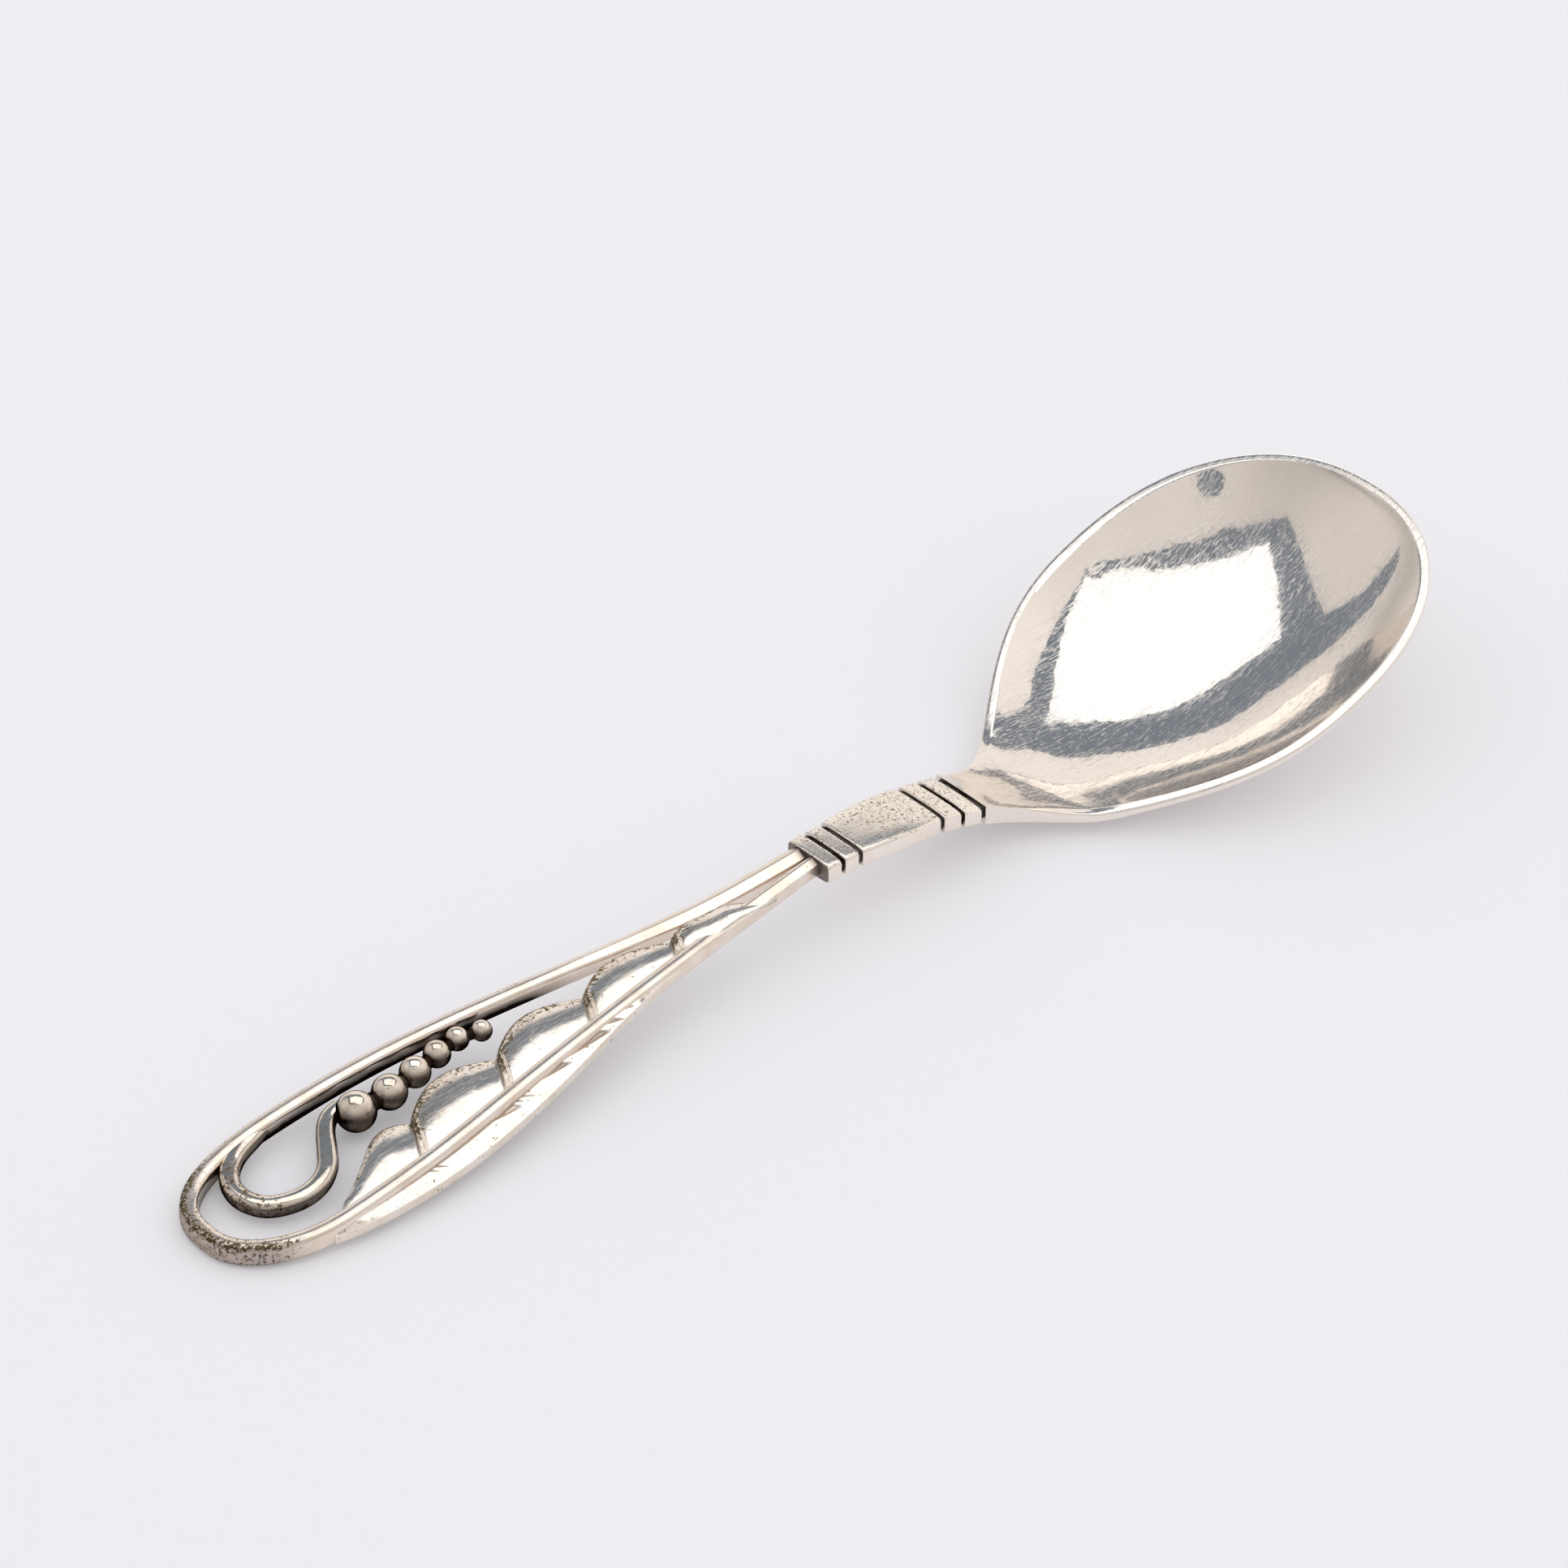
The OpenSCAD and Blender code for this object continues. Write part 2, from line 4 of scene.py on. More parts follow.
import bmesh
import bpy
import numpy as np
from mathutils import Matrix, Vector


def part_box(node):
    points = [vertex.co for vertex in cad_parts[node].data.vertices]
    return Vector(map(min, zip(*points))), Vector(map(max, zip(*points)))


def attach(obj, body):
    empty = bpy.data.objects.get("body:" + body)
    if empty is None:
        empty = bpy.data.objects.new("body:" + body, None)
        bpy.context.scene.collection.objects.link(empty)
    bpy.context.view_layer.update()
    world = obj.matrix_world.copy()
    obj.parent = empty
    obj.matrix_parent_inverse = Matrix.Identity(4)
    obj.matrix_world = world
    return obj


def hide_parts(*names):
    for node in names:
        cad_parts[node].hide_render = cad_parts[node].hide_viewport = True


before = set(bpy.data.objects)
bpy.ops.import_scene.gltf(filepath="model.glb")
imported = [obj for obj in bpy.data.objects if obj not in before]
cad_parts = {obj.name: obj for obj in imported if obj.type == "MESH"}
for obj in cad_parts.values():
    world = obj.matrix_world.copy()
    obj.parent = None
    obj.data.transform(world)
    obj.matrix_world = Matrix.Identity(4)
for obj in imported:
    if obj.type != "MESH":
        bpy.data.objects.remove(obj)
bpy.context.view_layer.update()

# Silver serving spoon. Lengths are in mm from the handle's round end, heights in mm from the table.
mm = 0.001
seam = 0.05  # the solder's gap
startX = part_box("handle_rail")[0].x / mm
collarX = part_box("neck_collar")[0].x / mm - startX


def mix(a, b, t):
    return a + (b - a) * t


def ease(t):
    t = np.clip(t, 0, 1)
    return t * t * (3 - 2 * t)


def ramp(x, run):
    first, length = run  # a length below zero makes it fall
    return ease((x - first) / length)


def hexColour(code):
    channels = [int(code[i:i + 2], 16) / 255 for i in (1, 3, 5)]
    return tuple(c / 12.92 if c <= 0.04045 else ((c + 0.055) / 1.055) ** 2.4 for c in channels) + (1,)


def perMm(size):
    return 1 / (size * mm)  # texture scale for a pattern of this size


def addNode(tree, kind, inputs=None, **settings):
    node = tree.nodes.new(kind)
    for name, value in settings.items():
        setattr(node, name, value)
    for name, value in (inputs or {}).items():
        if isinstance(value, bpy.types.Node):
            value = next(socket for socket in value.outputs if socket.enabled)
        if isinstance(value, bpy.types.NodeSocket):
            tree.links.new(value, node.inputs[name])
        else:
            node.inputs[name].default_value = value
    return node


def emptyTree(owner):
    owner.use_nodes = True
    owner.node_tree.nodes.clear()
    return partial(addNode, owner.node_tree)


# Meshes
weldGap, sliver = 0.002 * mm, 0.0005 * mm


def toMetres(points):
    placed = np.array(points, float)
    placed[..., 0] += startX
    return placed * mm


def gridPoints(x, y, z):
    return np.stack(np.broadcast_arrays(x, y, z), axis=-1)


def direction(path):
    way = np.gradient(path, axis=0)
    return way / np.linalg.norm(way, axis=1, keepdims=True)


def sideOf(path):
    way = direction(path)
    return np.stack([way[:, 1], -way[:, 0], np.zeros(len(way))], axis=1)


def linkObject(name, data):
    piece = bpy.data.objects.new(name, data)
    bpy.context.scene.collection.objects.link(piece)
    return piece


def cleanMesh(mesh, sharpAngle):
    work = bmesh.new()
    work.from_mesh(mesh)
    bmesh.ops.remove_doubles(work, verts=work.verts, dist=weldGap)
    bmesh.ops.dissolve_degenerate(work, edges=work.edges, dist=sliver)
    bmesh.ops.recalc_face_normals(work, faces=work.faces)
    work.to_mesh(mesh)
    work.free()
    mesh.shade_smooth()
    mesh.set_sharp_from_angle(angle=math.radians(sharpAngle))


def setAttribute(mesh, name, values):
    layer = mesh.attributes.get(name) or mesh.attributes.new(name, "FLOAT", "POINT")
    values = np.broadcast_to(np.ravel(values), len(mesh.vertices))
    layer.data.foreach_set("value", np.ascontiguousarray(values, np.float32))


# how dark, how dull and how flecked the silver is at each point; the darkness is tarnish and, on some pieces,
# painted shade
def setShadeAndWear(mesh, tarnishAndShade, satin, speckle):
    for name, values in (("tarnishAndShade", tarnishAndShade), ("satin", satin), ("speckle", speckle)):
        setAttribute(mesh, name, values)


def readAttribute(mesh, name):
    values = np.zeros(len(mesh.vertices), np.float32)
    mesh.attributes[name].data.foreach_get("value", values)
    return values


def readPoints(mesh):
    flat = np.zeros(len(mesh.vertices) * 3, np.float32)
    mesh.vertices.foreach_get("co", flat)
    points = flat.reshape(-1, 3).astype(float) / mm
    points[:, 0] -= startX
    return points


def solidFromRings(name, rings, tarnishAndShade, satin, speckle, sharpAngle):
    count, around = rings.shape[:2]
    ids = np.arange(count * around).reshape(count, around)
    here, there = ids[:-1], ids[1:]
    quads = np.stack([here, np.roll(here, -1, 1), np.roll(there, -1, 1), there], axis=-1)
    faces = quads.reshape(-1, 4).tolist() + [ids[0][::-1].tolist(), ids[-1].tolist()]
    mesh = bpy.data.meshes.new(name)
    mesh.from_pydata(toMetres(rings).reshape(-1, 3).tolist(), [], faces)
    setShadeAndWear(mesh, *(np.broadcast_to(values, (count, around)) for values in (tarnishAndShade, satin, speckle)))
    cleanMesh(mesh, sharpAngle)
    return linkObject(name, mesh)


def dress(piece, material, slot, *nodes):
    piece.data.materials.clear()
    piece.data.materials.append(material)
    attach(piece, "root")
    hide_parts(*nodes)
    print("made", piece.name, len(piece.data.polygons), "faces")


# Silver finishes. Each is sterling silver, 92.5% silver, worked in its own way. Sizes are in mm.

# what the finishes share, unless they say otherwise; the turns are radians from the spoon's length
silver = {
    "scratchTurns": (0.12, 0.5, -0.35), "scratchDrop": 4, "scratchDepth": 0.012, "scratchEdge": 0.012,
    "brushSize": (1.0, 0.13, 0.6), "waveDepth": 0.3, "satinWave": 0.1, "grainSize": 0.3, "grainDepth": 0.03,
    "fleckEase": 0.35, "rareFleck": 0.85, "thickFleck": 0.4, "fleckEdge": 0.07,
    "tarnishDull": 0.28, "patinaDull": 0.08, "scratch": 0.2, "scratchWidth": 1.2, "haze": 0.1,
    "wave": 0.07, "grain": 0.15,
}
# planished and buffed by hand: bright, with hairline scratches and faint hammer waves
bowlSilver = {
    **silver, "name": "buffedSterlingSilver", "tone": "#F4ECE4", "patina": "#ECE1D3", "dark": "#5E5A56",
    "speck": "#8A7C6C", "patinaSize": 12, "patinaShare": 0.3, "roughness": 0.03, "satinRoughness": 0.3,
    "speckSize": 0.5, "speckShare": 0.0, "scratch": 0.08, "scratchLength": 22, "scratchWidth": 1.1,
    "haze": 0.2, "brush": 0.32, "wave": 0.13, "waveSize": 4.5, "grain": 0.0,
}
# cast, filed and worn: a soft sheen with brown pits
collarSilver = {
    **silver, "name": "wornCastSilver", "tone": "#F7EEE4", "patina": "#E8DAC5", "dark": "#1B1613",
    "speck": "#86704F", "patinaSize": 4, "patinaShare": 0.4, "roughness": 0.1, "satinRoughness": 0.2,
    "speckSize": 0.19, "speckShare": 0.1, "scratchLength": 9, "brush": 0.08, "waveSize": 4, "grain": 0.35,
}
# drawn wire, burnished along the top and left dull on its flanks
railSilver = {
    **silver, "name": "drawnSilverWire", "tone": "#F4E8DD", "patina": "#D6BEA2", "dark": "#1F1916",
    "speck": "#6F6145", "patinaSize": 5, "patinaShare": 0.55, "roughness": 0.17, "satinRoughness": 0.34,
    "speckSize": 0.22, "speckShare": 0.08, "scratchLength": 12, "brush": 0.06, "waveSize": 5,
}
# wire and balls that polishing hardly reaches: warm grey, black in the hollows; their lower sides also get
# painted shade
tendrilSilver = {
    **silver, "name": "tarnishedSilver", "tone": "#F0E5D8", "patina": "#AC957C", "dark": "#261D16",
    "speck": "#7A6A50", "patinaSize": 3, "patinaShare": 0.6, "roughness": 0.05, "satinRoughness": 0.4,
    "speckSize": 0.3, "speckShare": 0.12, "scratch": 0.15, "scratchLength": 8, "haze": 0.05,
    "brush": 0.03, "wave": 0.06, "waveSize": 3,
}
# raised and chased with punches: bright swells, brown flecks in the low places
leafSilver = {
    **silver, "name": "chasedSilver", "tone": "#F6ECE2", "patina": "#DECDB6", "dark": "#453C30",
    "speck": "#79694B", "patinaSize": 4, "patinaShare": 0.5, "roughness": 0.11, "satinRoughness": 0.34,
    "speckSize": 0.28, "speckShare": 0.1, "scratchLength": 9, "haze": 0.12, "brush": 0.1, "wave": 0.11,
    "waveSize": 3, "grain": 0.1,
}


def silverMaterial(finish):
    material = bpy.data.materials.new(finish["name"])
    add = emptyTree(material)
    place = add("ShaderNodeTexCoord").outputs["Object"]
    tarnishAndShade, satin, speckle = (add("ShaderNodeAttribute", attribute_name=name).outputs["Fac"]
                               for name in ("tarnishAndShade", "satin", "speckle"))

    # clouds of warm patina over the bright tone
    cloud = add("ShaderNodeTexNoise", {
        "Vector": place, "Scale": perMm(finish["patinaSize"]), "Detail": 6, "Roughness": 0.62})
    cloudy = add("ShaderNodeMapRange", {
        "Value": cloud, "From Min": 0.42, "From Max": 0.72, "To Max": finish["patinaShare"]})
    warmed = add("ShaderNodeMix", {
        0: cloudy, 6: hexColour(finish["tone"]), 7: hexColour(finish["patina"])}, data_type="RGBA")

    # flecks of brown tarnish, thick where the piece asks for them and in a few drifts elsewhere
    fleck = add("ShaderNodeTexNoise", {
        "Vector": place, "Scale": perMm(finish["speckSize"] * 2), "Detail": 3, "Roughness": 0.75})
    drift = add("ShaderNodeTexNoise", {
        "Vector": place, "Scale": perMm(finish["patinaSize"] * 0.8), "Detail": 3})
    drifts = add("ShaderNodeMapRange", {
        "Value": drift, "From Min": 0.4, "From Max": 0.65, "To Max": finish["speckShare"]})
    wanted = add("ShaderNodeMath", {0: speckle, 1: drifts}, operation="ADD", use_clamp=True)
    share = add("ShaderNodeMath", {0: wanted, 1: finish["fleckEase"]}, operation="POWER")
    level = add("ShaderNodeMapRange", {
        "Value": share, "To Min": finish["rareFleck"], "To Max": finish["thickFleck"]})
    above = add("ShaderNodeMath", {0: fleck, 1: level}, operation="SUBTRACT")
    flecks = add("ShaderNodeMapRange", {"Value": above, "From Max": finish["fleckEdge"]})

    # the piece's own tarnish and painted shade, broken up by the cloud
    broken = add("ShaderNodeMapRange", {
        "Value": cloud, "From Min": 0.25, "From Max": 0.7, "To Min": 1.15, "To Max": 0.75})
    darkening = add("ShaderNodeMath", {0: tarnishAndShade, 1: broken}, operation="MULTIPLY", use_clamp=True)
    specked = add("ShaderNodeMix", {0: flecks, 6: warmed, 7: hexColour(finish["speck"])}, data_type="RGBA")
    colour = add("ShaderNodeMix", {0: darkening, 6: specked, 7: hexColour(finish["dark"])}, data_type="RGBA")
    darkened = add("ShaderNodeMath", {0: darkening, 1: flecks}, operation="MAXIMUM", use_clamp=True)

    # gloss: dull where it is satin, clouded, or darkened by tarnish or painted shade
    dull = add("ShaderNodeMapRange", {
        "Value": satin, "To Min": finish["roughness"], "To Max": finish["satinRoughness"]})
    duller = add("ShaderNodeMath", {
        0: darkened, 1: finish["tarnishDull"], 2: dull}, operation="MULTIPLY_ADD")
    gloss = add("ShaderNodeMath", {0: cloudy, 1: finish["patinaDull"], 2: duller}, operation="MULTIPLY_ADD")

    # hairline scratches: level lines of noise drawn out along three ways, coarser than real so they show
    lines = None
    for turn in finish["scratchTurns"]:
        turned = add("ShaderNodeMapping", {
            "Vector": place, "Rotation": (0, 0, turn), "Scale": (
                perMm(finish["scratchLength"]), perMm(finish["scratchWidth"]), perMm(finish["scratchDrop"]))})
        drawn = add("ShaderNodeTexNoise", {"Vector": turned, "Scale": 1, "Detail": 1})
        away = add("ShaderNodeMath", {0: drawn, 1: 0.5}, operation="SUBTRACT")
        near = add("ShaderNodeMath", {0: away}, operation="ABSOLUTE")
        groove = add("ShaderNodeMapRange", {"Value": near, "From Max": finish["scratchEdge"]})
        if lines:
            groove = add("ShaderNodeMath", {0: lines, 1: groove}, operation="MULTIPLY")
        lines = groove
    hazy = add("ShaderNodeMapRange", {"Value": lines, "To Min": finish["haze"], "To Max": 0})
    scratched = add("ShaderNodeBump", {
        "Strength": finish["scratch"], "Distance": finish["scratchDepth"] * mm, "Height": lines})

    # short brush marks between the hairlines
    along = add("ShaderNodeMapping", {
        "Vector": place, "Rotation": (0, 0, finish["scratchTurns"][0]),
        "Scale": [perMm(size) for size in finish["brushSize"]]})
    brushed = add("ShaderNodeTexNoise", {"Vector": along, "Scale": 1, "Detail": 3})
    brush = add("ShaderNodeMapRange", {
        "Value": brushed, "From Min": 0.5, "From Max": 0.72, "To Max": finish["brush"]})
    worked = add("ShaderNodeMath", {0: hazy, 1: brush}, operation="ADD")
    rough = add("ShaderNodeMath", {0: gloss, 1: worked}, operation="ADD")

    # slow waves left by the hammer, hardly any on satin, and the grain of cast or worn metal
    wave = add("ShaderNodeTexNoise", {"Vector": place, "Scale": perMm(finish["waveSize"]), "Detail": 2})
    waving = add("ShaderNodeMapRange", {
        "Value": satin, "From Max": 0.1, "To Min": finish["wave"],
        "To Max": finish["wave"] * finish["satinWave"]})
    waved = add("ShaderNodeBump", {
        "Strength": waving, "Distance": finish["waveDepth"] * mm, "Height": wave, "Normal": scratched})
    grain = add("ShaderNodeTexNoise", {
        "Vector": place, "Scale": perMm(finish["grainSize"]), "Detail": 3, "Roughness": 0.6})
    pitted = add("ShaderNodeMath", {0: grain, 1: flecks}, operation="SUBTRACT")
    grained = add("ShaderNodeBump", {
        "Strength": finish["grain"], "Distance": finish["grainDepth"] * mm, "Height": pitted,
        "Normal": waved})

    # tarnish and painted shade stay dark at a low angle too
    edgeTint = add("ShaderNodeMix", {
        0: darkening, 6: (1, 1, 1, 1), 7: hexColour(finish["dark"])}, data_type="RGBA")
    shader = add("ShaderNodeBsdfPrincipled", {
        "Base Color": colour, "Metallic": 1.0, "Roughness": rough, "Specular Tint": edgeTint,
        "Normal": grained})
    add("ShaderNodeOutputMaterial", {"Surface": shader})
    return material


bowlMaterial = silverMaterial(bowlSilver)
collarMaterial = silverMaterial(collarSilver)
railMaterial = silverMaterial(railSilver)
tendrilMaterial = silverMaterial(tendrilSilver)
leafMaterial = silverMaterial(leafSilver)
print("made the silver finishes")


# Handle: one wire bent into a hairpin, whose near arm is the leaf's midrib

rail = {
    "width": 2.4, "neckWidth": 2.05, "height": 3.1, "neckHeight": 2.45, "thinning": 1.5, "tenon": 1.2,
    "endLength": 24.6, "spread": 11.1, "neckSpread": 1.085, "endRound": 2.4, "taperEase": 1.08,
    "rise": 8.3, "ogee": 0.35, "dome": 2.2, "step": 0.35, "sharp": 40,
    "ribStart": 10.1, "ribX": 14, "ribBend": 14, "bow": 0.5, "bowX": 31, "bowLength": 13,
    "ridgeRun": (76, 10), "slopeRun": (56, 26),
    "farRound": 2.65, "farNeck": 0.45, "farNeckRun": (80, 16), "farWider": 0.4, "farWideRun": (70, 25),
}
# where the wire is tarnished and flecked, and where a dark reflection line is painted along the far arm
railWearAndPaintedLine = {
    "flank": 0.6, "farFlank": 1.35, "nearRun": (54, 12), "under": 0.5, "most": 1.4, "joint": 0.7,
    "jointLength": 1.2, "end": 0.45, "endRun": (11, -7), "line": 0.75, "paintedLineRun": (62, 16),
    "paintedLineWidth": 0.035, "outerSatin": 0.5, "ridgeSatin": 0.8, "topSatin": 0.35,
    "endFlecks": 0.9, "innerFlecks": 0.3, "farFlecks": 0.22, "ridgeFlecks": 0.12,
}


def railHeight(x):
    share = (x - rail["width"] / 2) / (collarX - rail["width"] / 2)
    return rail["height"] / 2 + rail["rise"] * share - rail["ogee"] * np.sin(2 * np.pi * share)


def railWidth(x):
    return mix(rail["width"], rail["neckWidth"], np.clip(x / collarX, 0, 1))


def railDepth(x):
    return mix(rail["height"], rail["neckHeight"], np.clip(x / collarX, 0, 1) ** rail["thinning"])


def farWidth(x):
    return railWidth(x) + rail["farWider"] * ramp(x, rail["farWideRun"])


def endReach(x, power=rail["endRound"]):
    share = np.clip((rail["endLength"] - x) / (rail["endLength"] - rail["width"] / 2), 0, 1)
    return rail["spread"] * (1 - share ** power) ** (1 / power)


def armReach(x):
    share = np.clip((x - rail["endLength"]) / (collarX - rail["endLength"]), 0, 1)
    taper = ((1 + np.cos(np.pi * share)) / 2) ** rail["taperEase"]
    return np.where(x < rail["endLength"], endReach(x), mix(rail["neckSpread"], rail["spread"], taper))


def farReach(x):
    neck = rail["farNeck"] * ramp(x, rail["farNeckRun"])
    return np.where(x < rail["endLength"], endReach(x, rail["farRound"]), armReach(x) + neck)


def ribLine(x):
    line = mix(rail["neckSpread"], rail["ribStart"], (collarX - x) / (collarX - rail["ribX"]))
    line = np.maximum(line, rail["neckSpread"])
    end, power = endReach(x), rail["ribBend"]
    return end * line / (end ** power + line ** power) ** (1 / power)


def ribReach(x):
    return ribLine(x) + rail["bow"] * np.exp(-((x - rail["bowX"]) / rail["bowLength"]) ** 2)


def sideways(reach, x):
    slope = (reach(x + 0.2) - reach(x - 0.2)) / 0.4
    return np.sqrt(1 + slope * slope)


def flank(reach, x):
    return railWidth(x) / 2 * sideways(reach, x)


def farFlank(x):
    return farReach(x) - farWidth(x) / 2 * sideways(farReach, x)


def evenSteps(path, step):
    lengths = np.concatenate([[0], np.cumsum(np.linalg.norm(np.diff(path, axis=0), axis=1))])
    stops = np.linspace(0, lengths[-1], int(lengths[-1] / step) + 1)
    return np.stack([np.interp(stops, lengths, path[:, k]) for k in range(path.shape[1])], axis=1)


# a tree's inputs by name and kind, and its one result
def addSockets(tree, result, **kinds):
    for name, kind in kinds.items():
        tree.interface.new_socket(name, in_out="INPUT", socket_type="NodeSocket" + kind)
    tree.interface.new_socket(result, in_out="OUTPUT", socket_type="NodeSocketGeometry")
    return addNode(tree, "NodeGroupInput").outputs


sectionShapes = ("roundShape", "ridgeShape", "slopeShape")


# a tree that runs a section along a path; the section turns from a round one into a ridged or a sloping one
def makeWireTree():
    tree = bpy.data.node_groups.new("wireAlongPath", "GeometryNodeTree")
    add = partial(addNode, tree)
    given = addSockets(tree, "Wire", Path="Geometry", Section="Object", Finish="Material")
    path = add("GeometryNodeMeshToCurve", {"Mesh": given["Path"]})
    section = add("GeometryNodeObjectInfo", {"Object": given["Section"]}).outputs["Geometry"]
    outline = add("GeometryNodeMeshToCurve", {"Mesh": section})
    skin = add("GeometryNodeCurveToMesh", {"Curve": path, "Profile Curve": outline, "Fill Caps": True})
    read = {}
    for kind, names in (("FLOAT_VECTOR", ("centre", "inward") + sectionShapes),
                        ("FLOAT", ("breadth", "depth", "ridge", "slope"))):
        for name in names:
            read[name] = add("GeometryNodeInputNamedAttribute", {"Name": name}, data_type=kind)
    ridged = add("ShaderNodeMix", {
        0: read["ridge"], 4: read["roundShape"], 5: read["ridgeShape"]}, data_type="VECTOR")
    shape = add("ShaderNodeMix", {0: read["slope"], 4: ridged, 5: read["slopeShape"]}, data_type="VECTOR")
    parts = add("ShaderNodeSeparateXYZ", {"Vector": shape}).outputs
    across = add("ShaderNodeMath", {0: parts["X"], 1: read["breadth"]}, operation="MULTIPLY")
    upward = add("ShaderNodeMath", {0: parts["Y"], 1: read["depth"]}, operation="MULTIPLY")
    aside = add("ShaderNodeVectorMath", {0: read["inward"], "Scale": across}, operation="SCALE")
    lift = add("ShaderNodeCombineXYZ", {"Z": upward})
    offset = add("ShaderNodeVectorMath", {0: aside, 1: lift}, operation="ADD")
    spot = add("ShaderNodeVectorMath", {0: read["centre"], 1: offset}, operation="ADD")
    moved = add("GeometryNodeSetPosition", {"Geometry": skin, "Position": spot})
    real = add("GeometryNodeRealizeInstances", {"Geometry": moved})
    finished = add("GeometryNodeSetMaterial", {"Geometry": real, "Material": given["Finish"]})
    add("NodeGroupOutput", {"Wire": finished})
    return tree


def setVectors(mesh, name, values):
    layer = mesh.attributes.new(name, "FLOAT_VECTOR", "POINT")
    layer.data.foreach_set("vector", np.asarray(values, np.float32).ravel())


def runTree(piece, tree, values):
    modifier = piece.modifiers.new("shape", "NODES")
    modifier.node_group = tree
    for item in tree.interface.items_tree:
        if item.in_out == "INPUT" and item.name in values:
            modifier[item.identifier] = values[item.name]
    evaluated = piece.evaluated_get(bpy.context.evaluated_depsgraph_get())
    mesh = bpy.data.meshes.new_from_object(evaluated)
    piece.modifiers.clear()
    piece.data = mesh
    return mesh


def sectionObject(*shapes):
    count = len(shapes[0])
    mesh = bpy.data.meshes.new("section")
    flat = [(x * mm, y * mm, 0) for x, y in shapes[0]]
    mesh.from_pydata(flat, [(i, (i + 1) % count) for i in range(count)], [])
    for name, shape in zip(sectionShapes, shapes):
        setVectors(mesh, name, [(x, y, 0) for x, y in shape])
    return linkObject("section", mesh)


def makeWire(name, centres, inward, breadth, depth, ridge, slope, section, material):
    count = len(centres)
    mesh = bpy.data.meshes.new(name)
    placed = toMetres(centres)
    mesh.from_pydata(placed.tolist(), [(i, i + 1) for i in range(count - 1)], [])
    setVectors(mesh, "centre", placed)
    setVectors(mesh, "inward", inward)
    sizes = {"breadth": breadth * mm, "depth": depth * mm, "ridge": ridge, "slope": slope}
    for given, values in sizes.items():
        setAttribute(mesh, given, values)
    piece = linkObject(name, mesh)
    made = runTree(piece, wireTree, {"Section": section, "Finish": material})
    shapes = np.zeros(len(made.vertices) * 3, np.float32)
    made.attributes["roundShape"].data.foreach_get("vector", shapes)
    shapes = shapes.reshape(-1, 3)
    setAttribute(made, "sectionSide", shapes[:, 0])
    setAttribute(made, "sectionUp", shapes[:, 1])
    for spent in ("centre", "inward", "breadth", "depth", "slope") + sectionShapes:
        made.attributes.remove(made.attributes[spent])
    bpy.data.objects.remove(section)
    return piece


wireTree = makeWireTree()


def arcPoints(centre, radii, first, last, count):
    angles = np.radians(np.linspace(first, last, count))
    return [(centre[0] + radii[0] * math.cos(a), centre[1] + radii[1] * math.sin(a)) for a in angles]


def bend(first, corner, last, count):
    t = np.linspace(0, 1, count)[:, None]
    first, corner, last = np.array(first), np.array(corner), np.array(last)
    return [tuple(p) for p in first * (1 - t) ** 2 + 2 * corner * t * (1 - t) + last * t ** 2]


def railSections():
    # shares of the wire's width and height, from the outer flank over the top to the inner flank
    underside = arcPoints((0, -0.22), (0.5, 0.28), 0, -180, 17)
    u = np.linspace(-0.36, 0.4, 17)
    top = 0.5 - (rail["dome"] - np.sqrt(rail["dome"] ** 2 - (u * rail["width"]) ** 2)) / rail["height"]
    domed = bend((-0.5, -0.05), (-0.5, 0.33), (-0.39, 0.405), 8) + list(zip(u, top))
    domed += bend((0.425, 0.39), (0.5, 0.34), (0.5, 0.15), 6) + underside
    # the midrib: a slanted outer face up to a soft crest near the leaf
    ridged = bend((-0.5, -0.05), (-0.5, 0.36), (-0.45, 0.378), 8)
    ridged += np.linspace((-0.43, 0.385), (0.08, 0.492), 9).tolist()
    ridged += bend((0.12, 0.498), (0.26, 0.515), (0.42, 0.45), 8)
    ridged += bend((0.45, 0.43), (0.5, 0.39), (0.5, 0.18), 6) + underside
    # the far arm by the collar: a narrow shelf outside and a broad slope to the leaf
    sloped = bend((-0.5, -0.05), (-0.5, 0.39), (-0.47, 0.418), 8)
    sloped += np.linspace((-0.45, 0.425), (-0.16, 0.482), 8).tolist()
    sloped += np.linspace((-0.12, 0.474), (0.42, 0.27), 9).tolist()
    sloped += bend((0.45, 0.255), (0.5, 0.22), (0.5, 0.05), 6) + underside
    return domed, ridged, sloped


